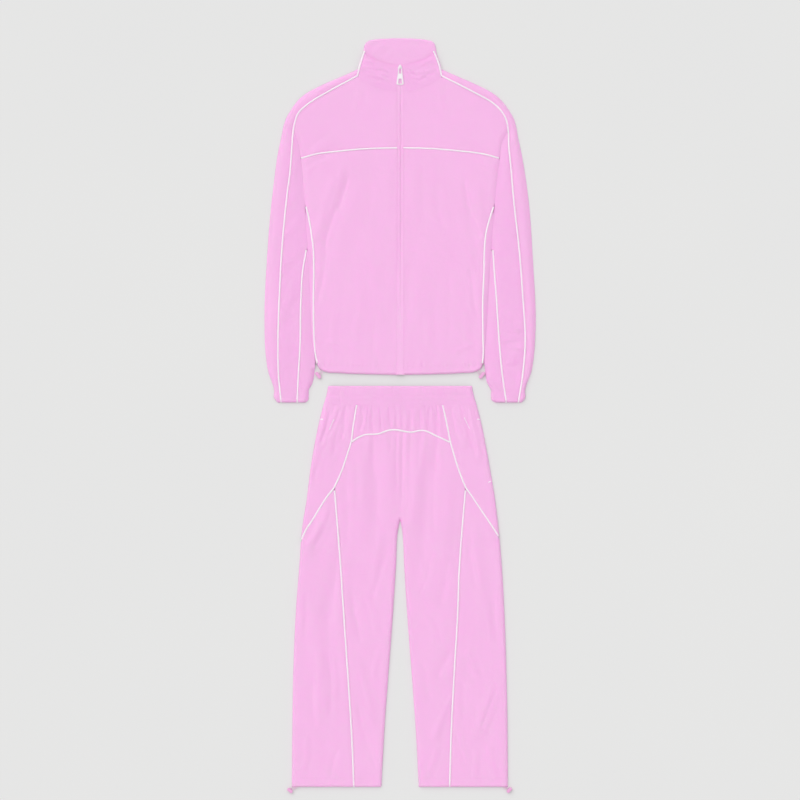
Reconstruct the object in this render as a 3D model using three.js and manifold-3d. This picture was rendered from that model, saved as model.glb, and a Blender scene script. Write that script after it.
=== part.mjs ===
// A pink track jacket and its track trousers, laid flat one above the other, in millimetres.
// X runs across them, Y runs up towards the collar, and Z rises from the surface they lie on.
// "out" is a distance from the centre line, "up" is a place along Y, and "left" and "right" give
// a column for each side. Every panel is a thin wall that lies on its garment's back.

import * as THREE from "three";
import { mergeVertices } from "three/addons/utils/BufferGeometryUtils.js";
import Module from "manifold-3d";

const { Vector2, Vector3 } = THREE;
const wasm = await Module();
wasm.setup();

// Cloth and seams
const WALL = 2;
const SEAM = 0.15;
const EDGE_SEAM = 0.3;
const PIPING_HALF = 2.1;
const PIPING_DEPTH = 1.4;
const PIPING_RISE = 1.4;
const PIPING_ENDS = { collar: 869, zip: 7.5, chest: 237.4, side: 119, armpit: 391 };
const BESIDE_PIPING = PIPING_HALF + 0.3;

// Heights above the surface
const CLOTH_TOP = 7.5;
const ARM_LINE_TOP = 4.6;
const BACK_TOP = 2;
const ROLL = 8;
const ROLL_MARKS = [8, 4, 1.2];
const TWO_MARKS = [8, 1.2];
const BACK_INSET = 4.4;

// Levels on the jacket and the trousers
const CUFF_END = 25;
const CUFF_STITCH = 55;
const FREE_TOP = 104;
const JOINED = 116;
const UNDERARM_TOP = 680;
const WAIST_SEAM = 20;
const WAIST_TOP = 64.6;
const CROTCH = -258;
const ANKLE = -898.5;
const ZIP_HALF = 6.9;

// Where the jacket's seams meet: along the centre line, the arm line and the sleeve seam
const CENTRE = { hem: 91.5, hemSeam: 114, chest: 636.5, neck: 770, collar: 832 };
const ARM = { back: 122, side: 480, front: 501, chest: 612, sleeve: 668 };
const SLEEVE = { armpit: 392, split: 398, top: 668, edgeTop: 672, neck: 809, shoulder: 825 };
const CORNER = { chest: 239, neck: 102, collar: 84, hem: 195, hemSeam: 200, sideSeam: 196 };
const SIDE_SEAM_ENDS = { low: 117, high: 495 };

// Ends of pieces that differ from side to side, as the suit lies
const ENDS = {
  left: { underarm: 380, sidePanel: 172, collar: 862, arch: 118 },
  right: { underarm: 356, sidePanel: 160, collar: 867, arch: 121 },
};

// Where the trousers' seams meet
const HIP = { corner: -179, cornerOut: 157.7, arch: -71, edge: -300, edgeOut: 237 };

const PINK = "#f5bcea";
const WHITE = "#f6f0f5";

const table = (columns, rows) =>
  rows.map((row) => Object.fromEntries(columns.map((name, i) => [name, row[i]])));

// Outer edge of shoulder and sleeve
const SLEEVE_EDGE = table(["up", "left", "right"], [
  [25, 294, 292],
  [33, 301, 299],
  [55, 302.5, 300.5],
  [100, 317, 315.5],
  [141, 323, 322],
  [209, 325.8, 325.8],
  [362, 320.5, 319.5],
  [530, 306, 306.5],
  [650, 288, 286],
  [720, 267, 266],
  [765, 229, 227],
  [825, 102.5, 101.5],
]);

// Seam from the collar over the shoulder and down the sleeve
const SLEEVE_SEAM = table(["up", "left", "right"], [
  [25, 285.5, 284],
  [86, 291.5, 293.5],
  [170, 293, 300.3],
  [273, 290, 295],
  [374, 285, 287.5],
  [530, 270.5, 271],
  [585, 263.5, 266.5],
  [640, 259.5, 261],
  [674, 257, 260],
  [700, 252, 256],
  [720, 244, 246.5],
  [743, 219, 224],
  [773, 169.5, 171],
  [809, 102.5, 99.5],
]);

// Where sleeve and body lie side by side, and below the hem the sleeve's free inner edge
const ARM_LINE = table(["up", "left", "right"], [
  [25, 228, 230],
  [34, 220, 219],
  [54, 219.5, 218.5],
  [72, 210.5, 209.5],
  [97, 206, 205],
  [128, 204.5, 202],
  [163, 211, 204.5],
  [223, 214.5, 208.5],
  [319, 218, 214],
  [415, 223.5, 220],
  [506, 229.5, 228],
  [612, 239, 239],
  [645, 244.5, 243.5],
  [680, 256, 259],
]);

// Curved side seam of the jacket's body
const SIDE_SEAM = table(["up", "left", "right"], [
  [117, 196, 196],
  [139, 202, 198],
  [175, 206, 197.8],
  [271, 208, 198.2],
  [343, 207, 201.4],
  [391, 208, 202.4],
  [434, 213.5, 206.6],
  [469, 219.5, 216],
  [495, 226, 224.5],
]);

// Seam along the underside of the sleeve
const UNDERARM_SEAM = table(["up", "left", "right"], [
  [25, 247, 255],
  [79, 245, 247],
  [151, 240.5, 239.5],
  [271, 238, 231.5],
  [343, 233.5, 226],
  [392, 225.2, 222.8],
]);

const CHEST_SEAM = table(["out", "up"], [
  [0, 636.5],
  [90, 633.5],
  [145, 628.5],
  [200, 621.5],
  [239, 611],
]);

const HEM_SEAM = table(["out", "up"], [
  [0, 114],
  [100, 115.5],
  [200, 118],
]);

const HEM = table(["out", "up"], [
  [0, 91.5],
  [85, 93],
  [150, 96],
  [182, 99.5],
  [195, 106.5],
]);

const NECK_SEAM = table(["out", "up"], [
  [0, 770],
  [24, 772.5],
  [66, 784.5],
  [102, 806],
]);

const COLLAR_TOP = table(["out", "left", "right"], [
  [0, 832, 832],
  [36, 840, 841],
  [62, 849, 852],
  [84, 861.5, 868],
]);

const COLLAR_SIDE = table(["up", "left", "right"], [
  [809, 102.5, 99.5],
  [835, 96, 93.5],
  [850, 91, 88.5],
  [868, 85.5, 80.5],
]);

// Outline of the collar's back, which stands above its front: rim, sides and seam at the nape
const COLLAR_RIM = table(["out", "up"], [
  [-81, 890],
  [-60, 896.5],
  [0, 899.8],
  [62, 896.5],
  [80, 890],
]);

const COLLAR_FLANK = table(["up", "left", "right"], [
  [813, 102.5, 101],
  [835, 98, 96],
  [862, 89.5, 85],
  [872, 89.5, 86.5],
  [890, 81, 80],
]);

const NAPE = table(["out", "up"], [
  [-105, 812],
  [-60, 822],
  [0, 828],
  [60, 822],
  [103, 812],
]);

// Outer edge of the trousers
const TROUSER_EDGE = table(["up", "left", "right"], [
  [-898.5, 260, 259],
  [-787, 259, 258.5],
  [-641, 257, 256],
  [-473, 250, 250.5],
  [-360, 241.5, 244],
  [-276, 235, 236.5],
  [-209, 224.5, 228.5],
  [-137, 215.5, 216.5],
  [-58, 202, 202],
  [-12, 192, 192],
  [20, 183.5, 183.5],
]);

const WAIST_EDGE = table(["up", "out"], [
  [20, 183.5],
  [38, 178],
  [64.6, 172.3],
]);

const INSEAM = table(["up", "out"], [
  [-898.5, 45],
  [-751, 37],
  [-641, 29],
  [-473, 16.5],
  [-368, 10],
  [-276, 4],
  [-258, 0.4],
]);

// Seam beside the gathered yoke, down to the corner where the leg seam starts
const YOKE_SEAM = table(["up", "left", "right"], [
  [-179, 158, 157.5],
  [-146, 143, 144],
  [-97, 126, 128.5],
  [-71, 118, 121],
  [-38, 113.5, 114.5],
  [20, 104, 102],
]);

// Slanting seam from that corner out to the edge of the trousers
const HIP_SEAM = table(["out", "left", "right"], [
  [157.7, -179, -179],
  [176, -202, -205],
  [196, -233.5, -235],
  [215, -264, -263],
  [237, -302, -297],
]);

const LEG_SEAM = table(["up", "left", "right"], [
  [-898.5, 111, 119],
  [-787, 115.5, 122],
  [-641, 124.5, 129],
  [-473, 136, 138.5],
  [-387, 141.5, 141.5],
  [-258, 151.5, 150.5],
  [-179, 158, 157.5],
]);

// Arched seam under the yoke, from the left hip to the right one
const ARCH = table(["out", "up"], [
  [-118, -71],
  [-104, -61],
  [-88, -53.5],
  [-50, -49.7],
  [-29, -42],
  [-15, -40.5],
  [27, -46],
  [55, -42],
  [88, -55.5],
  [121, -71],
]);

// The largest folds: each runs from one place to another, "wide" across, and rises or sinks
const FOLDS = table(["side", "out", "up", "toOut", "toUp", "wide", "rise"], [
  [-1, 112, 590, 198, 330, 13, -1.8],
  [-1, 150, 590, 214, 390, 12, 2.2],
  [1, 152, 570, 196, 300, 12, -1.6],
  [1, 186, 560, 200, 380, 11, 2.0],
  [-1, 250, 330, 288, 210, 9, 2.4],
  [-1, 300, 300, 268, 120, 9, 1.8],
  [1, 246, 480, 284, 420, 9, 2.2],
  [1, 240, 250, 292, 190, 9, 2.6],
  [1, 296, 170, 262, 110, 9, 2.2],
  [-1, 175, 14, 205, -150, 8, 2.8],
  [-1, 150, 14, 176, -110, 8, 2.6],
  [1, 136, 14, 160, -90, 8, 2.6],
  [1, 160, 14, 194, -130, 8, 2.8],
  [-1, 64, -60, 56, -280, 15, -2.2],
  [-1, 96, -80, 88, -330, 16, 2.4],
  [-1, 26, -60, 22, -250, 12, 1.8],
  [1, 84, -60, 40, -440, 14, -2.4],
  [1, 52, -60, 22, -300, 13, 2.4],
  [1, 118, -100, 104, -420, 16, 2.0],
  [-1, 166, -215, 224, -350, 12, 2.6],
  [-1, 152, -320, 178, -530, 14, -2.2],
  [-1, 210, -440, 186, -760, 18, 2.6],
  [-1, 118, -430, 92, -560, 12, -2.0],
  [-1, 110, -570, 60, -760, 12, 2.4],
  [-1, 104, -690, 54, -860, 11, -2.0],
  [1, 176, -250, 206, -520, 16, 2.2],
  [1, 232, -630, 178, -790, 14, 2.6],
  [1, 124, -560, 84, -640, 11, -2.2],
  [1, 120, -670, 76, -790, 11, 2.4],
]);

// Elastic gathers: how high each stands, and how far it runs into the cloth below or above
const WAIST_GATHER = { columns: 60, rise: 1.3 };
const YOKE_GATHER = { columns: 24, rise: 1.6, fade: 300 };
const CUFF_GATHER = { rise: 1.2, fade: 45 };

// Smooth value of one column, at a place given in another column
function follow(rows, along, column) {
  const place = rows.map((row) => row[along]);
  const value = rows.map((row) => row[column]);
  const last = rows.length - 1;
  const rate = (i) => (value[i + 1] - value[i]) / (place[i + 1] - place[i]);
  const slope = (i) => {
    if (i === 0) return rate(0);
    if (i === last) return rate(last - 1);
    const before = place[i] - place[i - 1];
    const after = place[i + 1] - place[i];
    return (rate(i) * before + rate(i - 1) * after) / (before + after);
  };
  return (at) => {
    const i = Math.min(Math.max(place.findIndex((p) => p > at) - 1, 0), last - 1);
    const k = at >= place[last] ? last - 1 : i;
    const step = place[k + 1] - place[k];
    const t = (at - place[k]) / step;
    const t2 = t * t;
    const t3 = t2 * t;
    return value[k] * (2 * t3 - 3 * t2 + 1) + value[k + 1] * (3 * t2 - 2 * t3)
      + step * (slope(k) * (t3 - 2 * t2 + t) + slope(k + 1) * (t3 - t2));
  };
}

const sideName = (side) => (side < 0 ? "left" : "right");

// A line on the cloth: a function from a place to a point (out, up)
function upLine(rows, column) {
  const out = follow(rows, "up", column);
  return (up) => new Vector2(out(up), up);
}

function acrossLine(rows, column) {
  const up = follow(rows, "out", column);
  return (out) => new Vector2(out, up(out));
}

const evenly = (steps) => Array.from({ length: steps + 1 }, (_, i) => i / steps);

// Steps along a line that ends at a rolled edge: even, then closer over the roll
function towardsRoll(steps, length, marks = ROLL_MARKS) {
  const near = marks.map((mark) => 1 - mark / length);
  return [...evenly(steps - marks.length).map((t) => t * near[0]), ...near.slice(1), 1];
}

// Points of a line from one place to another, at shares of its length, each with its seam allowance
function edge(line, from, to, shares, inset = SEAM) {
  const fine = 240;
  const points = evenly(fine).map((t) => line(from + (to - from) * t));
  const length = [0];
  points.slice(1).forEach((p, i) => length.push(length[i] + p.distanceTo(points[i])));
  return shares.map((share) => {
    const goal = share * length[fine];
    const k = Math.max(1, length.findIndex((l) => l >= goal - 1e-9));
    const t = (goal - length[k - 1]) / (length[k] - length[k - 1]);
    return { at: points[k - 1].clone().lerp(points[k], t), inset };
  });
}

const straight = (a, b) => (t) => a.clone().lerp(b, t);

// Two edges end to end: the shared point keeps the wider allowance
function join(first, second) {
  const middle = { at: first.at(-1).at, inset: Math.max(first.at(-1).inset, second[0].inset) };
  return [...first.slice(0, -1), middle, ...second.slice(1)];
}

// Direction square to a polyline at one of its points, and the stretch that a mitre needs
function squareTo(points, i) {
  const before = points[Math.max(i - 1, 0)];
  const after = points[Math.min(i + 1, points.length - 1)];
  const a = points[i].clone().sub(before);
  const b = after.clone().sub(points[i]);
  if (i === 0) a.copy(b);
  if (i === points.length - 1) b.copy(a);
  const normal = a.normalize().add(b.normalize());
  const stretch = 2 / Math.max(normal.length(), 1);
  normal.normalize();
  return { normal: new Vector2(-normal.y, normal.x), stretch };
}

// The edge moved to its left (turn 1) or right (turn -1) by each point's allowance
function moved(edgePoints, turn) {
  const points = edgePoints.map((p) => p.at);
  return points.map((p, i) => {
    const { normal, stretch } = squareTo(points, i);
    return p.clone().addScaledVector(normal, turn * edgePoints[i].inset * stretch);
  });
}

// Where the line through a0 and a1 crosses the line through b0 and b1
function crossing(a0, a1, b0, b1) {
  const a = a1.clone().sub(a0);
  const b = b1.clone().sub(b0);
  const t = b0.clone().sub(a0).cross(b) / a.cross(b);
  return a0.clone().addScaledVector(a, t);
}

function shares(points) {
  const length = [0];
  points.slice(1).forEach((p, i) => length.push(length[i] + p.distanceTo(points[i])));
  return length.map((l) => l / length.at(-1));
}

// A grid of points between four edges. inner and outer run up, low and high run outwards.
function gridBetween({ inner, outer, low, high }) {
  const I = moved(inner, -1);
  const O = moved(outer, 1);
  const L = moved(low, 1);
  const H = moved(high, -1);
  const corners = {
    il: crossing(I[0], I[1], L[0], L[1]),
    ol: crossing(O[0], O[1], L.at(-1), L.at(-2)),
    ih: crossing(I.at(-1), I.at(-2), H[0], H[1]),
    oh: crossing(O.at(-1), O.at(-2), H.at(-1), H.at(-2)),
  };
  I[0] = L[0] = corners.il;
  O[0] = L[L.length - 1] = corners.ol;
  I[I.length - 1] = H[0] = corners.ih;
  O[O.length - 1] = H[H.length - 1] = corners.oh;
  const lowShare = shares(L);
  const highShare = shares(H);
  const innerShare = shares(I);
  const outerShare = shares(O);
  return I.map((_, j) => L.map((__, i) => {
    const v0 = (innerShare[j] + outerShare[j]) / 2;
    const u = lowShare[i] + (highShare[i] - lowShare[i]) * v0;
    const v = innerShare[j] + (outerShare[j] - innerShare[j]) * u;
    const along = L[i].clone().multiplyScalar(1 - v).addScaledVector(H[i], v);
    const across = I[j].clone().multiplyScalar(1 - u).addScaledVector(O[j], u);
    const flat = corners.il.clone().multiplyScalar((1 - u) * (1 - v))
      .addScaledVector(corners.ol, u * (1 - v))
      .addScaledVector(corners.ih, (1 - u) * v)
      .addScaledVector(corners.oh, u * v);
    return along.add(across).sub(flat);
  }));
}

function nearest(points, at) {
  let best = Infinity;
  points.slice(1).forEach((b, i) => {
    const a = points[i];
    const ab = b.clone().sub(a);
    const t = Math.min(Math.max(at.clone().sub(a).dot(ab) / ab.lengthSq(), 0), 1);
    best = Math.min(best, at.distanceTo(a.clone().addScaledVector(ab, t)));
  });
  return best;
}

const sample = (line, from, to, steps = 90) => evenly(steps).map((t) => line(from + (to - from) * t));

// Rise of a rolled edge: 0 at the edge, 1 once the cloth has turned over the roll
const rolled = (distance, radius = ROLL) =>
  Math.sqrt(1 - (1 - Math.min(distance / radius, 1)) ** 2);

const always = () => true;
const eased = (t) => THREE.MathUtils.smoothstep(t, 0, 1);

// Height that the large folds add at a point
function folded(side, at) {
  let rise = 0;
  for (const fold of FOLDS.filter((row) => row.side === side)) {
    const from = new Vector2(fold.out, fold.up);
    const along = new Vector2(fold.toOut, fold.toUp).sub(from);
    const t = at.clone().sub(from).dot(along) / along.lengthSq();
    const inside = Math.min(Math.max(t, 0), 1);
    const distance = at.distanceTo(from.addScaledVector(along, inside));
    const taper = eased(inside * 5) * eased((1 - inside) * 5);
    rise += fold.rise * taper * Math.exp(-((distance / fold.wide) ** 2));
  }
  return rise;
}

// Side of the hem casing, from the hem to its seam
const casingSide = straight(new Vector2(195, 106.5), new Vector2(200, 118));

const outline = {};
for (const side of [-1, 1]) {
  const column = sideName(side);
  outline[side] = {
    sleeve: sample(upLine(SLEEVE_EDGE, column), 25, 825),
    armLine: sample(upLine(ARM_LINE, column), FREE_TOP, UNDERARM_TOP),
    freeSleeve: sample(upLine(ARM_LINE, column), CUFF_END, FREE_TOP),
    hemCorner: sample(casingSide, 0, 1, 4),
    trouser: sample(upLine(TROUSER_EDGE, column), ANKLE, WAIST_SEAM),
    inseam: sample(upLine(INSEAM, "out"), ANKLE, CROTCH),
  };
}

// Height of the cloth's outside, for each part of the two garments
const bodyTop = (side) => (at) => {
  const corner = nearest(outline[side].hemCorner, at);
  const line = nearest(outline[side].armLine.filter((p) => p.y > 128), at);
  const overArm = ARM_LINE_TOP + (CLOTH_TOP - ARM_LINE_TOP) * rolled(line, 6);
  const fade = rolled(Math.min(line, corner), 20);
  return Math.min(overArm, CLOTH_TOP * rolled(corner, 6)) + folded(side, at) * fade;
};

const sleeveTop = (side) => (at) => {
  const free = nearest(outline[side].freeSleeve, at);
  const outer = Math.min(nearest(outline[side].sleeve, at), free);
  const line = nearest(outline[side].armLine, at);
  const base = Math.min(ARM_LINE_TOP + (CLOTH_TOP - ARM_LINE_TOP) * eased(line / 22), CLOTH_TOP);
  return base * rolled(outer) + folded(side, at) * rolled(Math.min(outer, line), 20);
};

const collarTop = (at) => CLOTH_TOP + 0.7 * eased((at.y - 800) / 60);

const trouserTop = (side) => (at) => {
  const distance = Math.min(nearest(outline[side].trouser, at), nearest(outline[side].inseam, at));
  return CLOTH_TOP * rolled(distance) + folded(side, at) * rolled(distance, 20);
};

const cloth = (colour, roughness = 0.55) =>
  new THREE.MeshStandardMaterial({ color: colour, roughness, metalness: 0 });

const suit = new THREE.Group();
const surfaces = {};

function addMesh(name, geometry, colour = PINK, roughness = 0.55) {
  const mesh = new THREE.Mesh(geometry, cloth(colour, roughness));
  mesh.name = name;
  suit.add(mesh);
  return mesh;
}

function geometryOf(points, faces, flip = false) {
  const geometry = new THREE.BufferGeometry();
  const flat = points.flatMap((p) => [p.x, p.y, p.z]);
  geometry.setAttribute("position", new THREE.Float32BufferAttribute(flat, 3));
  geometry.setIndex(faces.flatMap(([a, b, c]) => (flip ? [a, c, b] : [a, b, c])));
  return geometry;
}

// Direction out of the cloth at a grid point: square to it inside, in the seam's own upright
// plane at a seam, and level at an edge that is rolled down
function outward(grid, i, j, rolledEdges) {
  const lastRow = grid.length - 1;
  const lastColumn = grid[0].length - 1;
  const here = grid[j][i];
  const inRow = grid[j][Math.min(i + 1, lastColumn)].clone().sub(grid[j][Math.max(i - 1, 0)]);
  const inColumn = grid[Math.min(j + 1, lastRow)][i].clone().sub(grid[Math.max(j - 1, 0)][i]);
  const onSide = i === 0 || i === lastColumn;
  const onEnd = j === 0 || j === lastRow;
  const isRolled = (i === 0 && rolledEdges.inner?.(here))
    || (i === lastColumn && rolledEdges.outer?.(here));
  if (isRolled) {
    const neighbour = grid[j][i === 0 ? 1 : lastColumn - 1];
    const level = here.clone().sub(neighbour).setZ(0).normalize();
    if (onEnd) return level;
    const along = inColumn.clone().setZ(0).normalize();
    return level.addScaledVector(along, -level.dot(along)).normalize();
  }
  if (onSide && onEnd) return new Vector3(0, 0, 1);
  if (onSide || onEnd) {
    const along = onEnd ? inRow : inColumn;
    const level = along.clone().setZ(0);
    return level.clone().normalize().multiplyScalar(-along.z).setZ(level.length()).normalize();
  }
  return inRow.cross(inColumn).normalize();
}

// A cloth panel: a wall between four edges whose outside follows a height
function panel(name, side, edges, top, { rolledEdges = {}, gather = () => 0 } = {}) {
  const grid = gridBetween(edges).map((row) => row.map((at, i) => {
    const ridge = i % 2 === 1 ? gather(at) : 0;
    return new Vector3(at.x, at.y, Math.max(top(at) + ridge, 0));
  }));
  const rows = grid.length;
  const columns = grid[0].length;
  const outside = grid.flat();
  const inside = grid.flatMap((row, j) => row.map((p, i) => {
    const q = p.clone().addScaledVector(outward(grid, i, j, rolledEdges), -WALL);
    return q.setZ(Math.max(q.z, 0));
  }));
  const count = rows * columns;
  const faces = [];
  const quad = (a, b, c, d) => faces.push([a, b, c], [a, c, d]);
  for (let j = 0; j + 1 < rows; j += 1) {
    for (let i = 0; i + 1 < columns; i += 1) {
      const a = j * columns + i;
      quad(a, a + 1, a + columns + 1, a + columns);
      quad(count + a, count + a + columns, count + a + columns + 1, count + a + 1);
    }
  }
  const rim = [];
  for (let i = 0; i + 1 < columns; i += 1) rim.push(i);
  for (let j = 0; j + 1 < rows; j += 1) rim.push(j * columns + columns - 1);
  for (let i = columns - 1; i > 0; i -= 1) rim.push((rows - 1) * columns + i);
  for (let j = rows - 1; j > 0; j -= 1) rim.push(j * columns);
  rim.forEach((a, k) => {
    const b = rim[(k + 1) % rim.length];
    quad(a, count + a, count + b, b);
  });
  surfaces[name] = grid;
  const points = [...outside, ...inside].map((p) => new Vector3(side * p.x, p.y, p.z));
  return addMesh(name, geometryOf(points, faces, side < 0));
}

// Height of a panel's outside at a point, read from its own grid
const onPanel = (name) => (at) => {
  const grid = surfaces[name];
  const flat = (p) => new Vector2(p.x, p.y);
  for (let j = 0; j + 1 < grid.length; j += 1) {
    for (let i = 0; i + 1 < grid[0].length; i += 1) {
      const a = grid[j][i];
      const c = grid[j + 1][i + 1];
      for (const b of [grid[j][i + 1], grid[j + 1][i]]) {
        const ab = flat(b).sub(flat(a));
        const ac = flat(c).sub(flat(a));
        const p = at.clone().sub(flat(a));
        const whole = ab.cross(ac);
        const v = p.cross(ac) / whole;
        const w = ab.cross(p) / whole;
        if (v >= 0 && w >= 0 && v + w <= 1) return a.z + v * (b.z - a.z) + w * (c.z - a.z);
      }
    }
  }
  return CLOTH_TOP;
};

// A flattened tube whose front follows a grid and whose back lies on the surface
function tubeGeometry(grid) {
  const columns = grid[0].length;
  const rings = grid.map((row, j) => {
    const inside = row.map((p, i) => {
      const q = p.clone().addScaledVector(outward(grid, i, j, { inner: always, outer: always }), -WALL);
      return q.setY(p.y).setZ(Math.max(q.z, BACK_TOP));
    });
    return { outside: row, inside };
  });
  const points = rings.flatMap(({ outside, inside }) => [...outside, ...inside]);
  const faces = [];
  const quad = (a, b, c, d) => faces.push([a, b, c], [a, c, d]);
  for (let j = 0; j + 1 < grid.length; j += 1) {
    const low = 2 * j * columns;
    const high = low + 2 * columns;
    for (let i = 0; i < columns; i += 1) {
      const next = (i + 1) % columns;
      quad(low + i, low + next, high + next, high + i);
      quad(low + columns + i, high + columns + i, high + columns + next, low + columns + next);
    }
  }
  const end = 2 * (grid.length - 1) * columns;
  for (let i = 0; i < columns; i += 1) {
    const next = (i + 1) % columns;
    quad(i, columns + i, columns + next, next);
    quad(end + i, end + next, end + columns + next, end + columns + i);
  }
  return geometryOf(points, faces);
}

// A bar swept along a line on the cloth; its section has across and up offsets, anticlockwise
function sweep(side, path, top, section) {
  const points = path.map((p) => p.at);
  const rings = points.flatMap((p, k) => {
    const { normal, stretch } = squareTo(points, k);
    const level = top(p);
    return section.map(([across, rise]) => {
      const q = p.clone().addScaledVector(normal, -across * stretch);
      return new Vector3(side * q.x, q.y, Math.max(level + rise, 0.02 * (rise + 2)));
    });
  });
  const n = section.length;
  const faces = [];
  for (let k = 0; k + 1 < points.length; k += 1) {
    for (let i = 0; i < n; i += 1) {
      const a = k * n + i;
      const b = k * n + ((i + 1) % n);
      faces.push([a, a + n, b], [b, a + n, b + n]);
    }
  }
  const end = (points.length - 1) * n;
  for (let i = 1; i + 1 < n; i += 1) {
    faces.push([0, i, i + 1], [end, end + i + 1, end + i]);
  }
  return geometryOf(rings, faces, side < 0);
}

const bar = (name, side, path, top, section, colour = WHITE) =>
  addMesh(name, sweep(side, path, top, section), colour, 0.5);

const boxSection = (half, low, high) => [[-half, low], [half, low], [half, high], [-half, high]];

const PIPING_SECTION = [
  [-PIPING_HALF, -PIPING_DEPTH],
  [PIPING_HALF, -PIPING_DEPTH],
  [PIPING_HALF * 0.9, 0.5],
  [0, PIPING_RISE],
  [-PIPING_HALF * 0.9, 0.5],
];

const piping = (name, side, path, top) => bar(name, side, path, top, PIPING_SECTION);

// Outline inside a loop of edges that run anticlockwise, each moved in by its own allowances
function outlineOf(edges) {
  const lines = edges.map((points) => moved(points, 1));
  lines.forEach((line, k) => {
    const next = lines[(k + 1) % lines.length];
    const corner = crossing(line.at(-2), line.at(-1), next[0], next[1]);
    line[line.length - 1] = corner;
    next[0] = corner;
  });
  return lines.flatMap((line) => line.slice(0, -1));
}

function slabGeometry(outlinePoints, depth = BACK_TOP) {
  return new THREE.ExtrudeGeometry(new THREE.Shape(outlinePoints), { depth, bevelEnabled: false });
}

// A flat back piece that lies on the surface
const backPiece = (name, edges) => addMesh(name, slabGeometry(outlineOf(edges)));

// The same line on the other side of the centre line
const opposite = (line) => (at) => line(at).setX(-line(at).x);
const oppositeEdge = (points) =>
  points.map(({ at, inset }) => ({ at: new Vector2(-at.x, at.y), inset })).reverse();

// Joining and cutting
function toSolid(geometry) {
  const plain = geometry.index ? geometry.toNonIndexed() : geometry.clone();
  plain.deleteAttribute("normal");
  plain.deleteAttribute("uv");
  const merged = mergeVertices(plain, 1e-4);
  return new wasm.Manifold(new wasm.Mesh({
    numProp: 3,
    vertProperties: new Float32Array(merged.attributes.position.array),
    triVerts: new Uint32Array(merged.index.array),
  }));
}

function toGeometry(solid) {
  const mesh = solid.getMesh();
  const geometry = new THREE.BufferGeometry();
  geometry.setAttribute("position", new THREE.Float32BufferAttribute(mesh.vertProperties, 3));
  geometry.setIndex([...mesh.triVerts]);
  return geometry;
}

const centreLine = (up) => new Vector2(0, up);
const besideZip = ZIP_HALF + SEAM;

// Rows of a sleeve: close at the elastic cuff, then even up to where the underarm seam ends
const SLEEVE_MARKS = [0, 15, 30, 45, 62, FREE_TOP - CUFF_END, JOINED - CUFF_END];
const cuffRows = (steps, length) => {
  const marks = SLEEVE_MARKS.map((mark) => mark / length);
  const last = marks.pop();
  return [...marks, ...evenly(steps - marks.length).map((t) => last + (1 - last) * t)];
};

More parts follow.
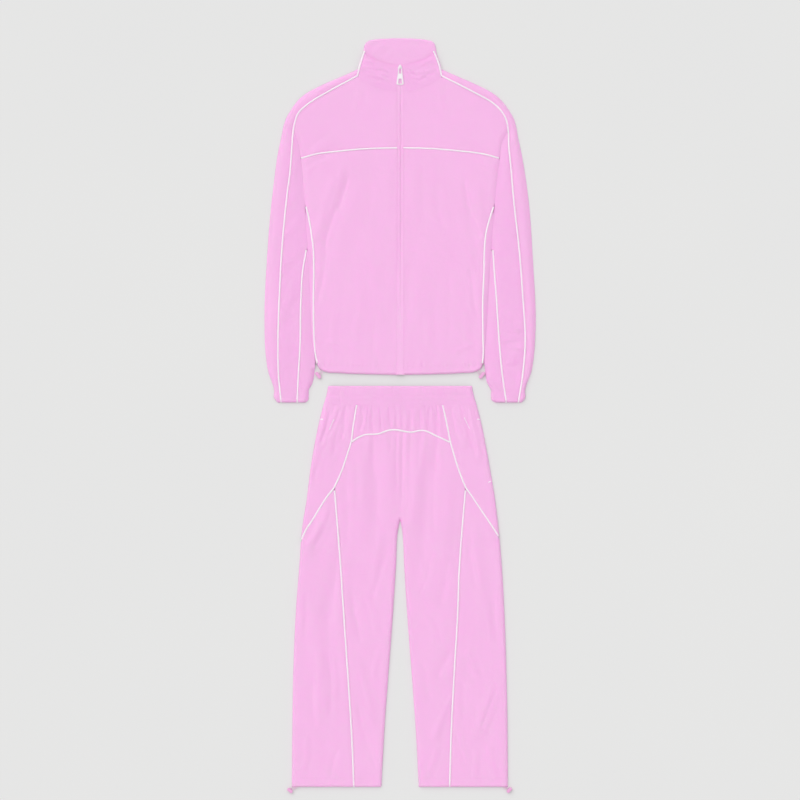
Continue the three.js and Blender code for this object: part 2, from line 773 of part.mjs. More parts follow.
for (const side of [-1, 1]) {
  const column = sideName(side);
  const sleeveEdge = upLine(SLEEVE_EDGE, column);
  const sleeveSeam = upLine(SLEEVE_SEAM, column);
  const armLine = upLine(ARM_LINE, column);
  const sideSeam = upLine(SIDE_SEAM, column);
  const underarmSeam = upLine(UNDERARM_SEAM, column);
  const collarSide = upLine(COLLAR_SIDE, column);
  const chestSeam = acrossLine(CHEST_SEAM, "up");
  const hemSeam = acrossLine(HEM_SEAM, "up");
  const hem = acrossLine(HEM, "up");
  const neckSeam = acrossLine(NECK_SEAM, "up");
  const collarEdge = acrossLine(COLLAR_TOP, column);

  const ends = ENDS[column];
  const body = bodyTop(side);
  const sleeve = sleeveTop(side);

  const cuffGather = (at) => {
    const fade = 1 - eased((at.y - CUFF_STITCH) / CUFF_GATHER.fade);
    const stitched = Math.abs(at.y - CUFF_STITCH) < 8 ? 0.3 : 1;
    const free = Math.min(nearest(outline[side].sleeve, at), nearest(outline[side].freeSleeve, at));
    return CUFF_GATHER.rise * fade * stitched * rolled(Math.max(free - 3, 0), 5);
  };

  // Sleeve: the seam from cuff to collar is cut into the same stretches for every piece on it
  const seamRows = (inset) => join(
    join(
      edge(sleeveSeam, CUFF_END, ends.underarm, cuffRows(12, ends.underarm - CUFF_END), inset),
      edge(sleeveSeam, ends.underarm, SLEEVE.split, [0, 1], inset),
    ),
    edge(sleeveSeam, SLEEVE.split, SLEEVE.top, evenly(6), inset),
  );
  const shoulderRows = (inset) => edge(sleeveSeam, SLEEVE.top, SLEEVE.neck, evenly(6), inset);

  panel(`shoulder_sleeve_strip_${column}`, side, {
    inner: join(seamRows(BESIDE_PIPING), shoulderRows(BESIDE_PIPING)),
    outer: join(
      join(
        edge(sleeveEdge, CUFF_END, ends.underarm, cuffRows(12, ends.underarm - CUFF_END), 0),
        edge(sleeveEdge, ends.underarm, SLEEVE.split, [0, 1], 0),
      ),
      join(
        edge(sleeveEdge, SLEEVE.split, SLEEVE.edgeTop, evenly(6), 0),
        edge(sleeveEdge, SLEEVE.edgeTop, SLEEVE.shoulder, evenly(6), 0),
      ),
    ),
    low: edge(straight(sleeveSeam(CUFF_END), sleeveEdge(CUFF_END)), 0, 1, towardsRoll(4, 26, [5, 1.2]), 0),
    high: edge(collarSide, SLEEVE.neck, SLEEVE.shoulder, towardsRoll(4, 16, [5, 1.2]), BESIDE_PIPING),
  }, sleeve, { rolledEdges: { outer: always }, gather: cuffGather });

  const underarmRows = (end, inset) => join(
    edge(underarmSeam, CUFF_END, ends.underarm, cuffRows(12, ends.underarm - CUFF_END), inset),
    edge(underarmSeam, ends.underarm, end, [0, 1], inset),
  );
  panel(`sleeve_front_${column}`, side, {
    inner: join(
      underarmRows(SLEEVE.armpit, BESIDE_PIPING),
      edge(armLine, SLEEVE.armpit + 8, ARM.sleeve, evenly(6), EDGE_SEAM),
    ),
    outer: seamRows(BESIDE_PIPING),
    low: edge(straight(underarmSeam(CUFF_END), sleeveSeam(CUFF_END)), 0, 1, evenly(6), 0),
    high: edge(straight(armLine(ARM.sleeve), sleeveSeam(SLEEVE.top)), 0, 1, evenly(6)),
  }, sleeve, { gather: cuffGather });

  panel(`underarm_panel_${column}`, side, {
    inner: edge(armLine, CUFF_END, ends.underarm, cuffRows(12, ends.underarm - CUFF_END), EDGE_SEAM)
      .map(({ at }) => ({ at, inset: at.y < JOINED ? 0 : EDGE_SEAM })),
    outer: edge(underarmSeam, CUFF_END, ends.underarm, cuffRows(12, ends.underarm - CUFF_END), BESIDE_PIPING),
    low: edge(straight(armLine(CUFF_END), underarmSeam(CUFF_END)), 0, 1, [0, 0.06, 0.3, 0.65, 1], 0),
    high: edge(straight(armLine(ends.underarm), underarmSeam(ends.underarm)), 0, 1, evenly(4)),
  }, sleeve, { rolledEdges: { inner: (at) => at.y < JOINED - 2 }, gather: cuffGather });

  // Body
  const chestShares = towardsRoll(11, 232, TWO_MARKS);
  panel(`front_yoke_${column}`, side, {
    inner: edge(centreLine, CENTRE.chest, CENTRE.neck, evenly(6), besideZip),
    outer: edge(armLine, ARM.chest, UNDERARM_TOP, evenly(6), EDGE_SEAM),
    low: edge(chestSeam, 0, CORNER.chest, chestShares, BESIDE_PIPING),
    high: join(edge(neckSeam, 0, CORNER.neck, evenly(5)), shoulderRows(BESIDE_PIPING).reverse()),
  }, body, { rolledEdges: { outer: always } });

  const sideRows = (from, inset) => join(
    edge(sideSeam, from, ends.sidePanel, evenly(3), inset),
    join(
      edge(sideSeam, ends.sidePanel, ARM.side, evenly(8), inset),
      edge(sideSeam, ARM.side, SIDE_SEAM_ENDS.high, [0, 1], inset),
    ),
  );
  panel(`front_${column}`, side, {
    inner: edge(centreLine, CENTRE.hemSeam, CENTRE.chest, evenly(15), besideZip),
    outer: join(
      sideRows(SIDE_SEAM_ENDS.low, BESIDE_PIPING),
      edge(armLine, ARM.front, ARM.chest, evenly(3), EDGE_SEAM),
    ),
    low: edge(hemSeam, 0, CORNER.sideSeam, evenly(11)),
    high: edge(chestSeam, 0, CORNER.chest, chestShares, BESIDE_PIPING),
  }, body, { rolledEdges: { outer: (at) => at.y > SIDE_SEAM_ENDS.high + 4 } });

  const sliverShares = [0, 0.4, 0.85, 1];
  panel(`side_panel_${column}`, side, {
    inner: edge(sideSeam, ends.sidePanel, ARM.side, evenly(8), BESIDE_PIPING + SEAM),
    outer: edge(armLine, ends.sidePanel, ARM.side, evenly(8), EDGE_SEAM),
    low: edge(straight(sideSeam(ends.sidePanel), armLine(ends.sidePanel)), 0, 1, sliverShares),
    high: edge(straight(sideSeam(ARM.side), armLine(ARM.side)), 0, 1, sliverShares),
  }, body, { rolledEdges: { outer: always } });

  panel(`hem_casing_${column}`, side, {
    inner: edge(centreLine, CENTRE.hem, CENTRE.hemSeam, evenly(2), besideZip),
    outer: edge(casingSide, 0, 1, evenly(2), 0),
    low: edge(hem, 0, CORNER.hem, towardsRoll(11, 188, TWO_MARKS), 0),
    high: edge(hemSeam, 0, CORNER.hemSeam, towardsRoll(11, 193, TWO_MARKS)),
  }, body, { rolledEdges: { outer: always } });

  panel(`collar_front_${column}`, side, {
    inner: edge(centreLine, CENTRE.neck, CENTRE.collar, evenly(4), besideZip),
    outer: edge(collarSide, SLEEVE.neck, ends.collar, evenly(4), BESIDE_PIPING),
    low: edge(neckSeam, 0, CORNER.neck, evenly(5)),
    high: edge(collarEdge, 0, CORNER.collar, evenly(5), 0),
  }, collarTop);

  // Piping
  const overShoulder = join(seamRows(0), shoulderRows(0));
  const upCollar = edge(collarSide, SLEEVE.neck, PIPING_ENDS.collar, evenly(4), 0);
  piping(`piping_sleeve_${column}`, side, join(overShoulder, upCollar), (at) =>
    (at.y > SLEEVE.neck ? collarTop(at) : sleeve(at)));
  const chestPiping = edge(chestSeam, PIPING_ENDS.zip, PIPING_ENDS.chest, chestShares);
  piping(`piping_chest_${column}`, side, chestPiping, body);
  piping(`piping_side_${column}`, side, sideRows(PIPING_ENDS.side, 0), body);
  piping(`piping_underarm_${column}`, side, underarmRows(PIPING_ENDS.armpit, 0), sleeve);

  // Zip tape
  const tapeHalf = ZIP_HALF / 2 - SEAM;
  const tapeSection = boxSection(tapeHalf, -2.2, -1.2);
  const tapeLine = (up) => new Vector2(ZIP_HALF / 2, up);
  const tape = edge(tapeLine, CENTRE.hem + 0.5, CENTRE.collar - 1, evenly(12));
  bar(`zip_tape_${column}`, side, tape, collarTop, tapeSection, PINK);

  // Trousers
  const trouserEdge = upLine(TROUSER_EDGE, column);
  const inseam = upLine(INSEAM, "out");
  const yokeSeam = upLine(YOKE_SEAM, column);
  const legSeam = upLine(LEG_SEAM, column);
  const hipSeam = acrossLine(HIP_SEAM, column);
  const arch = (out) => new Vector2(out, follow(ARCH, "out", "up")(side * out));
  const leg = trouserTop(side);
  const fromRoll = (length) => towardsRoll(12, length, TWO_MARKS).map((t) => 1 - t).reverse();
  const aboveCrotch = [0, 0.04, 0.3, 0.65, 1];
  const waistGather = (at) => {
    const fade = 1 - eased((WAIST_SEAM - at.y) / YOKE_GATHER.fade);
    return YOKE_GATHER.rise * fade * rolled(nearest(outline[side].trouser, at), 14);
  };

  panel(`front_inner_leg_${column}`, side, {
    inner: join(
      edge(inseam, ANKLE, CROTCH, evenly(12), 0),
      edge(centreLine, CROTCH, arch(0).y, aboveCrotch),
    ),
    outer: join(
      edge(legSeam, ANKLE, HIP.corner, evenly(13), BESIDE_PIPING),
      edge(yokeSeam, HIP.corner, HIP.arch, evenly(3), BESIDE_PIPING),
    ),
    low: edge(straight(inseam(ANKLE), legSeam(ANKLE)), 0, 1, fromRoll(66), 0),
    high: edge(arch, 0, ends.arch, fromRoll(130), BESIDE_PIPING),
  }, leg, { rolledEdges: { inner: (at) => at.y < CROTCH - 1 }, gather: waistGather });

  const hipShares = towardsRoll(8, 145, TWO_MARKS);
  const waistShares = towardsRoll(8, 80, TWO_MARKS);
  panel(`hip_panel_${column}`, side, {
    inner: join(
      edge(yokeSeam, HIP.corner, HIP.arch, evenly(3), BESIDE_PIPING),
      edge(yokeSeam, HIP.arch, WAIST_SEAM, evenly(4), BESIDE_PIPING),
    ),
    outer: edge(trouserEdge, HIP.edge, WAIST_SEAM, evenly(7), 0),
    low: edge(hipSeam, HIP.cornerOut, HIP.edgeOut, hipShares, BESIDE_PIPING),
    high: edge(straight(yokeSeam(WAIST_SEAM), trouserEdge(WAIST_SEAM)), 0, 1, waistShares),
  }, leg, { rolledEdges: { outer: always }, gather: waistGather });

  panel(`front_outer_leg_${column}`, side, {
    inner: edge(legSeam, ANKLE, HIP.corner, evenly(13), BESIDE_PIPING),
    outer: edge(trouserEdge, ANKLE, HIP.edge, evenly(13), 0),
    low: edge(straight(legSeam(ANKLE), trouserEdge(ANKLE)), 0, 1, hipShares, 0),
    high: edge(hipSeam, HIP.cornerOut, HIP.edgeOut, hipShares, BESIDE_PIPING),
  }, leg, { rolledEdges: { outer: always } });

  const hipPath = join(
    edge(hipSeam, HIP.cornerOut, HIP.edgeOut - 0.8, hipShares).reverse(),
    join(
      edge(yokeSeam, HIP.corner, HIP.arch, evenly(3)),
      edge(yokeSeam, HIP.arch, WAIST_SEAM - SEAM, evenly(4)),
    ),
  );
  piping(`piping_hip_${column}`, side, hipPath, leg);
  piping(`piping_leg_${column}`, side, edge(legSeam, ANKLE, HIP.corner - 7, evenly(13)), leg);
}

// Pieces that reach across the centre line
const acrossWhole = (rows) => {
  const line = acrossLine(rows, "up");
  return (x) => new Vector2(x, line(Math.abs(x)).y);
};
const rightArmLine = upLine(ARM_LINE, "right");
const leftArmLine = upLine(ARM_LINE, "left");

// A line given for the right side, or for the left side seen on its own half
const upRight = (rows, from, to, steps, inset) =>
  edge(upLine(rows, "right"), from, to, evenly(steps), inset);
const downLeft = (rows, from, to, steps, inset) =>
  oppositeEdge(edge(upLine(rows, "left"), from, to, evenly(steps), inset));

const nape = acrossLine(NAPE, "up");
const sleeveCorner = (side) => new Vector2(side * 277.5, UNDERARM_TOP);
const COLLAR_BACK = { low: 813, high: 890, napeLeft: -101, napeRight: 100, rimLeft: -81, rimRight: 80 };
backPiece("jacket_back", [
  edge(acrossWhole(HEM_SEAM), -CORNER.hemSeam - 2, CORNER.hemSeam + 3, evenly(6)),
  upRight(ARM_LINE, ARM.back, UNDERARM_TOP, 12, EDGE_SEAM),
  edge(straight(rightArmLine(UNDERARM_TOP), sleeveCorner(1)), 0, 1, [0, 1]),
  upRight(SLEEVE_EDGE, UNDERARM_TOP, SLEEVE.shoulder, 8, BACK_INSET),
  edge(upLine(COLLAR_FLANK, "right"), SLEEVE.shoulder, COLLAR_BACK.low, [0, 1]),
  edge(nape, COLLAR_BACK.napeRight, COLLAR_BACK.napeLeft, evenly(8)),
  oppositeEdge(edge(upLine(COLLAR_FLANK, "left"), SLEEVE.shoulder, COLLAR_BACK.low, [0, 1])),
  downLeft(SLEEVE_EDGE, UNDERARM_TOP, SLEEVE.shoulder, 8, BACK_INSET),
  edge(straight(sleeveCorner(-1), opposite(leftArmLine)(UNDERARM_TOP)), 0, 1, [0, 1]),
  downLeft(ARM_LINE, ARM.back, UNDERARM_TOP, 12, EDGE_SEAM),
]);

backPiece("hem_casing_back", [
  edge(acrossWhole(HEM), -CORNER.hem, CORNER.hem, evenly(14), 0),
  edge(casingSide, 0, 1, [0, 1], BACK_INSET),
  edge(acrossWhole(HEM_SEAM), CORNER.hemSeam, -CORNER.hemSeam, evenly(6)),
  oppositeEdge(edge(casingSide, 0, 1, [0, 1], BACK_INSET)),
]);

for (const side of [-1, 1]) {
  const column = sideName(side);
  const sleeveEdge = upLine(SLEEVE_EDGE, column);
  const armLine = upLine(ARM_LINE, column);
  const freeShares = [0, 0.06, 0.18, 0.36, 0.54, 0.7, 0.85, 1];
  const place = (edges) => (side > 0 ? edges : edges.map(oppositeEdge).reverse());
  backPiece(`sleeve_back_${column}`, place([
    edge(straight(armLine(CUFF_END), sleeveEdge(CUFF_END)), 0, 1, [0, 1], 0),
    edge(sleeveEdge, CUFF_END, UNDERARM_TOP - SEAM, evenly(14), BACK_INSET),
    edge(straight(sleeveEdge(UNDERARM_TOP), armLine(UNDERARM_TOP)), 0, 1, [0, 1]),
    join(
      edge(armLine, UNDERARM_TOP, ARM.back, evenly(12), EDGE_SEAM),
      edge(armLine, ARM.back, CUFF_END, freeShares)
        .map(({ at }) => ({ at, inset: at.y > ARM.back - 1 ? EDGE_SEAM : BACK_INSET })),
    ),
  ]));

  const trouserEdge = upLine(TROUSER_EDGE, column);
  const inseam = upLine(INSEAM, "out");
  backPiece(`back_leg_${column}`, place([
    edge(straight(inseam(ANKLE), trouserEdge(ANKLE)), 0, 1, [0, 1], 0),
    edge(trouserEdge, ANKLE, WAIST_SEAM, evenly(12), BACK_INSET),
    edge(straight(trouserEdge(WAIST_SEAM), centreLine(WAIST_SEAM)), 0, 1, [0, 1]),
    edge(centreLine, WAIST_SEAM, CROTCH, [0, 1]),
    edge(inseam, CROTCH - 1, ANKLE, evenly(10), BACK_INSET),
  ]));
}

// Collar back: a slab whose sides stand up to the piping
const collarBack = slabGeometry(outlineOf([
  edge(nape, COLLAR_BACK.napeLeft, COLLAR_BACK.napeRight, evenly(8)),
  upRight(COLLAR_FLANK, COLLAR_BACK.low, COLLAR_BACK.high, 8, 0),
  edge(acrossLine(COLLAR_RIM, "up"), COLLAR_BACK.rimRight, COLLAR_BACK.rimLeft, evenly(10), 0),
  downLeft(COLLAR_FLANK, COLLAR_BACK.low, COLLAR_BACK.high, 8, 0),
]));
const collarWalls = [-1, 1].map((side) => {
  const line = upLine(COLLAR_SIDE, sideName(side));
  return sweep(side, edge(line, 818, 866, evenly(6)), collarTop, boxSection(1, -7, -1.8));
});
const collarSolid = collarWalls.reduce((solid, wall) => solid.add(toSolid(wall)), toSolid(collarBack));
addMesh("collar_back", toGeometry(collarSolid));

// Front yoke of the trousers, from hip seam to hip seam
const mirrorOut = (points) => points.map(({ at, inset }) => ({ at: new Vector2(-at.x, at.y), inset }));
const archLine = (x) => new Vector2(x, follow(ARCH, "out", "up")(x));
const archShares = towardsRoll(12, 130, TWO_MARKS);
const archPath = (inset) => join(
  edge(archLine, -ENDS.left.arch, 0, archShares, inset),
  edge(archLine, 0, ENDS.right.arch, archShares.map((t) => 1 - t).reverse(), inset),
);
const yokeTop = (at) => trouserTop(at.x < 0 ? -1 : 1)(new Vector2(Math.abs(at.x), at.y));
const yokeGather = (at) => YOKE_GATHER.rise * (1 - eased((WAIST_SEAM - at.y) / YOKE_GATHER.fade));
const yokeSide = (column) =>
  edge(upLine(YOKE_SEAM, column), HIP.arch, WAIST_SEAM, evenly(4), BESIDE_PIPING);
const waistLine = straight(
  opposite(upLine(YOKE_SEAM, "left"))(WAIST_SEAM),
  upLine(YOKE_SEAM, "right")(WAIST_SEAM),
);
panel("front_yoke", 1, {
  inner: mirrorOut(yokeSide("left")),
  outer: yokeSide("right"),
  low: archPath(BESIDE_PIPING),
  high: edge(waistLine, 0, 1, evenly(YOKE_GATHER.columns)),
}, yokeTop, { gather: yokeGather });
piping("piping_arch", 1, archPath(0).slice(1, -1), yokeTop);

// Waistband: a flattened tube of gathered cloth over its elastic
const waistEdge = upLine(WAIST_EDGE, "out");
const bandRows = table(["up", "top", "gather"], [
  [WAIST_SEAM + 2 * SEAM, 7.0, 0.6],
  [29, 8.0, 1],
  [40, 7.0, 0.5],
  [52, 8.0, 1],
  [WAIST_TOP, 7.4, 0.6],
]);
const halfColumns = WAIST_GATHER.columns / 2;
const halfShares = towardsRoll(halfColumns, 180, ROLL_MARKS);
const bandShares = [...halfShares.map((t) => -t).reverse(), ...halfShares.slice(1)];
const bandGrid = bandRows.map(({ up, top, gather }) => bandShares.map((share, i) => {
  const half = waistEdge(up).x;
  const x = share * half;
  const distance = half - Math.abs(x);
  const ridge = i % 2 === 1 ? WAIST_GATHER.rise * gather * rolled(Math.max(distance - 4, 0), 20) : 0;
  return new Vector3(x, up, top * rolled(distance) + ridge);
}));
addMesh("waistband", tubeGeometry(bandGrid));

// Zip slider: two plates joined by a post above the tapes' ends, and a bridge for the pull
const PIVOT = { up: 829.5, height: 10 };
const SLIDER = { half: 4.9, low: 825.7, tip: 836.4, under: 7, top: 8.7 };
const BRIDGE = { half: 1.3, reach: 3.6, window: 2, roof: 11.3, top: 12.7 };

function boxBetween(low, high) {
  const size = high.map((h, k) => h - low[k]);
  const middle = high.map((h, k) => (h + low[k]) / 2);
  return toSolid(new THREE.BoxGeometry(...size).translate(...middle));
}

const LOWER_PLATE = { under: 3.2, thick: 1.2 };
const nose = new THREE.Shape();
nose.moveTo(-SLIDER.half, SLIDER.low + 1.5);
nose.quadraticCurveTo(-SLIDER.half, SLIDER.low, -SLIDER.half + 1.5, SLIDER.low);
nose.lineTo(SLIDER.half - 1.5, SLIDER.low);
nose.quadraticCurveTo(SLIDER.half, SLIDER.low, SLIDER.half, SLIDER.low + 1.5);
nose.quadraticCurveTo(SLIDER.half * 0.9, SLIDER.tip - 3, 0, SLIDER.tip);
nose.quadraticCurveTo(-SLIDER.half * 0.9, SLIDER.tip - 3, -SLIDER.half, SLIDER.low + 1.5);
const plate = (height, thick) => toSolid(new THREE.ExtrudeGeometry(nose, {
  depth: thick,
  bevelEnabled: false,
  curveSegments: 5,
}).translate(0, 0, height));
const bridgeBlock = boxBetween(
  [-BRIDGE.half, PIVOT.up - BRIDGE.reach, SLIDER.top - 0.4],
  [BRIDGE.half, PIVOT.up + BRIDGE.reach, BRIDGE.top],
);
const bridgeWindow = boxBetween(
  [-BRIDGE.half - 1, PIVOT.up - BRIDGE.window, SLIDER.top],
  [BRIDGE.half + 1, PIVOT.up + BRIDGE.window, BRIDGE.roof],
);
const POST = { half: 1.1, low: CENTRE.collar - 0.4, high: 834.4, under: 4 };
const sliderPost = boxBetween(
  [-POST.half, POST.low, POST.under],
  [POST.half, POST.high, SLIDER.under + 0.4],
);
const sliderSolid = plate(SLIDER.under, SLIDER.top - SLIDER.under)
  .add(bridgeBlock.subtract(bridgeWindow))
  .add(sliderPost)
  .add(plate(LOWER_PLATE.under, LOWER_PLATE.thick));
addMesh("zip_slider", toGeometry(sliderSolid), WHITE, 0.35);

// Pull tab: widening plate with a long hole round the bridge and a square hole near its end
const PULL = { thick: 1.4, bar: 0.7, length: 41.9, topHalf: 4, midHalf: 5.6, endHalf: 8.7, tilt: 0.033 };
const PULL_HOLES = table(["from", "to", "halfNear", "halfFar"], [
  [0.7, 15.4, 2.2, 2.9],
  [27.6, 39.4, 3.3, 4.6],
]);
const pullShape = new THREE.Shape();
pullShape.moveTo(-PULL.topHalf + 1, PULL.bar);
pullShape.lineTo(PULL.topHalf - 1, PULL.bar);
pullShape.quadraticCurveTo(PULL.topHalf, PULL.bar, PULL.topHalf + 0.1, -0.5);
pullShape.lineTo(PULL.midHalf, -15);
pullShape.lineTo(PULL.endHalf, 3 - PULL.length);
pullShape.quadraticCurveTo(PULL.endHalf, -PULL.length, PULL.endHalf - 3, -PULL.length);
pullShape.lineTo(3 - PULL.endHalf, -PULL.length);
pullShape.quadraticCurveTo(-PULL.endHalf, -PULL.length, -PULL.endHalf, 3 - PULL.length);
pullShape.lineTo(-PULL.midHalf, -15);
pullShape.lineTo(-PULL.topHalf - 0.1, -0.5);
pullShape.quadraticCurveTo(-PULL.topHalf, PULL.bar, 1 - PULL.topHalf, PULL.bar);
pullShape.holes = PULL_HOLES.map(({ from, to, halfNear, halfFar }) => new THREE.Path([
  new Vector2(-halfNear, -from),
  new Vector2(-halfFar, -to),
  new Vector2(halfFar, -to),
  new Vector2(halfNear, -from),
]));
const pullGeometry = new THREE.ExtrudeGeometry(pullShape, {
  depth: PULL.thick,
  bevelEnabled: false,
  curveSegments: 4,
});
pullGeometry.translate(0, 0, -PULL.thick / 2).rotateX(PULL.tilt).translate(0, PIVOT.up, PIVOT.height);
addMesh("zip_pull", pullGeometry, WHITE, 0.35);

// Cord locks and their cords: each cord leaves the hem, turns round in its lock and goes back
const CORD_RADIUS = 0.7;
const CORD_HEIGHT = 3.6;
const CORD_STRAND = 2.8;
const LOCKS = table(["name", "side", "out", "up", "angle", "long", "wide", "high"], [
  ["hem_left", -1, 196.8, 90.5, 51, 17.5, 7.5, 7],
  ["hem_right", 1, 196.8, 90.5, 51, 17.5, 7.5, 7],
  ["ankle_left", -1, 264.4, -907, 40, 14, 7, 6.6],
  ["ankle_right", 1, 262.4, -906, 45, 14, 7, 6.6],
]);
// Where each strand leaves the hem, and how far it starts inside
const STRANDS = table(["name", "firstOut", "firstUp", "nextOut", "nextUp", "inside"], [
  ["hem_left", 190.5, 101.5, 185.5, 99.8, 6],
  ["hem_right", 190.5, 101.5, 185.5, 99.8, 6],
  ["ankle_left", 251.6, -898.5, 247, -898.5, 6],
  ["ankle_right", 251.6, -898.5, 247, -898.5, 6],
]);

const CORD_DEEP = 0.8;
const CORD_STEPS = 18;
const cordSection = new THREE.Shape(evenly(8).slice(1).map((turn) => new Vector2(
  CORD_RADIUS * Math.cos(2 * Math.PI * turn),
  CORD_RADIUS * Math.sin(2 * Math.PI * turn),
)));
const cordGeometry = (path) => new THREE.ExtrudeGeometry(cordSection, {
  steps: CORD_STEPS,
  bevelEnabled: false,
  extrudePath: new THREE.CatmullRomCurve3(path, false, "centripetal"),
});

const CHAMFER = 1.6;
const LOCK_BEVEL = 0.6;
const SLOT = { half: 4.2, rise: 1.1 };

// Corners of a lock's outline, cut off
function lockOutline(halfLong, halfWide) {
  const corners = [[-1, -1], [1, -1], [1, 1], [-1, 1]];
  return corners.flatMap(([x, y]) => {
    const ends = [
      new Vector2(x * halfLong, y * (halfWide - CHAMFER)),
      new Vector2(x * (halfLong - CHAMFER), y * halfWide),
    ];
    return x * y > 0 ? ends : ends.reverse();
  });
}

LOCKS.forEach(({ name, side, out, up, angle, long, wide, high }, k) => {
  const turn = THREE.MathUtils.degToRad(angle);
  const outwards = new Vector2(side * Math.cos(turn), Math.sin(turn));
  const inHem = new Vector2(-side * Math.sin(turn), Math.cos(turn));
  const body = new THREE.ExtrudeGeometry(new THREE.Shape(lockOutline(long / 2, wide / 2)), {
    depth: high - 2 * LOCK_BEVEL,
    bevelEnabled: true,
    bevelThickness: LOCK_BEVEL,
    bevelSize: LOCK_BEVEL,
    bevelOffset: -LOCK_BEVEL,
    bevelSegments: 1,
  }).translate(0, 0, LOCK_BEVEL);
  const slot = boxBetween(
    [-SLOT.half, -wide, CORD_HEIGHT - SLOT.rise],
    [SLOT.half, wide, CORD_HEIGHT + SLOT.rise],
  );
  const lock = toGeometry(toSolid(body).subtract(slot));
  lock.rotateZ(outwards.angle()).translate(side * out, up, 0);
  addMesh(name.replace("_", "_cord_lock_"), lock, PINK, 0.4);

  const { firstOut, firstUp, nextOut, nextUp, inside } = STRANDS[k];
  const inLock = (along, towardsHem) => new Vector2(side * out, up)
    .addScaledVector(outwards, along)
    .addScaledVector(inHem, towardsHem);
  const arc = evenly(6).map((t) => inLock(
    CORD_STRAND * Math.cos(Math.PI * t),
    CORD_DEEP - CORD_STRAND * Math.sin(Math.PI * t),
  ));
  const path = [
    new Vector2(side * (firstOut - 2.5), firstUp + inside),
    new Vector2(side * firstOut, firstUp),
    inLock(CORD_STRAND, wide / 2 + 1),
    ...arc,
    inLock(-CORD_STRAND, wide / 2 + 1),
    new Vector2(side * nextOut, nextUp),
    new Vector2(side * (nextOut - 2), nextUp + inside),
  ].map((p) => new Vector3(p.x, p.y, CORD_HEIGHT));
  addMesh(name.replace("_", "_cord_"), cordGeometry(path), WHITE, 0.6);
});

// Pocket edges, laid on the hip panels
const POCKETS = table(["side", "out", "up", "toOut", "toUp"], [
  [-1, 158.6, -14.6, 169.7, -40.3],
  [1, 154.1, -11, 166.8, -37.7],
]);
for (const { side, out, up, toOut, toUp } of POCKETS) {
  const column = sideName(side);
  const path = edge(straight(new Vector2(out, up), new Vector2(toOut, toUp)), 0, 1, evenly(5), 0);
  bar(`pocket_edge_${column}`, side, path, onPanel(`hip_panel_${column}`), boxSection(1.25, 0.35, 1.25));
}

export default suit;
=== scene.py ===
# %% [markdown]
# # A pink tracksuit, laid flat
# A track jacket lies above its track trousers, each on its own back, as for a catalogue picture.
# Both are polyester tricot, with white piping in their seams. The CAD model gives every panel its
# place and its large folds. Here each panel becomes a thin knitted shell with its creases, gathers,
# seams and sewing, and the hard bits get their plastics.

import math

import bpy
import numpy as np
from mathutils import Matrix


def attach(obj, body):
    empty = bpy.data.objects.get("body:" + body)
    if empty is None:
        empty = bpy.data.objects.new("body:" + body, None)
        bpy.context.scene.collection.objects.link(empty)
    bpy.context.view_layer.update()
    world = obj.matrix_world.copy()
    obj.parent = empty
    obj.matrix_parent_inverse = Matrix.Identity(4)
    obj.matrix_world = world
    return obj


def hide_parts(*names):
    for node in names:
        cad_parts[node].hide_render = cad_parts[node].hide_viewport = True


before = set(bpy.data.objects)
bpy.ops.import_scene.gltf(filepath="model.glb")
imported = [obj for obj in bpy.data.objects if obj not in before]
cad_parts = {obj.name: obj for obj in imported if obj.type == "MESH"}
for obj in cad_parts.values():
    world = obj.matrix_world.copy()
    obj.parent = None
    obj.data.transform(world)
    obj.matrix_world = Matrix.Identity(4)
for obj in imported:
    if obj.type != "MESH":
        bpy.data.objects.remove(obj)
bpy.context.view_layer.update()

# %% [markdown]
# ## Camera
# The picture was taken from straight above, so the camera looks down. A long lens keeps the
# upright sides of the cloth out of sight. It shows 1.92 m of floor across the square picture.

# %% Camera above the suit
FRAME_WIDTH = 1.92
LENS = 100
SENSOR = 36
CLOTH_HEIGHT = 0.0075

camera_data = bpy.data.cameras.new("camera_above")
camera_data.lens = LENS
camera_data.sensor_width = SENSOR
camera = bpy.data.objects.new("camera_above", camera_data)
camera.location = (-0.0002, 0.031, CLOTH_HEIGHT + FRAME_WIDTH * LENS / SENSOR)
bpy.context.collection.objects.link(camera)
bpy.context.scene.camera = camera
print("camera height, metres:", round(camera.location.z, 3))

# %% [markdown]
# ## Colour and node helpers
# Colours are written as they look on a screen and turned to the linear values that a renderer
# adds up. One small function adds a node with its settings and its links.

# %% Colour and node helpers
MM = 0.001


def linear(colour):
    """Linear value of an sRGB hex colour, with full alpha."""
    channels = [int(colour[k:k + 2], 16) / 255 for k in (1, 3, 5)]
    return [c / 12.92 if c <= 0.04045 else ((c + 0.055) / 1.055) ** 2.4 for c in channels] + [1]


def add(tree, kind, settings=None, links=None):
    """One node: settings go to a socket if it has one of that name or number, else to the node."""
    made = tree.nodes.new(kind)
    for name, value in (settings or {}).items():
        if isinstance(name, int) or name in made.inputs:
            made.inputs[name].default_value = value
        else:
            setattr(made, name, value)
    for name, source in (links or {}).items():
        tree.links.new(source, made.inputs[name])
    return made


def material_of(name):
    """A material with an empty tree, and the socket that gives a place on the object, in metres."""
    material = bpy.data.materials.new(name)
    material.use_nodes = True
    tree = material.node_tree
    tree.nodes.clear()
    return material, tree, add(tree, "ShaderNodeTexCoord").outputs["Object"]


def bands(tree, place, apart, distortion, **more):
    """Parallel ridges so many millimetres apart."""
    settings = {"Scale": 2 * math.pi / 20 / (apart * MM), "Distortion": distortion, **more}
    return add(tree, "ShaderNodeTexWave", settings, {"Vector": place}).outputs["Fac"]


def patches(tree, place, wide, detail, **more):
    """Soft noise whose patches are about so many millimetres wide."""
    settings = {"Scale": 1 / (wide * MM), "Detail": detail, **more}
    return add(tree, "ShaderNodeTexNoise", settings, {"Vector": place}).outputs["Fac"]


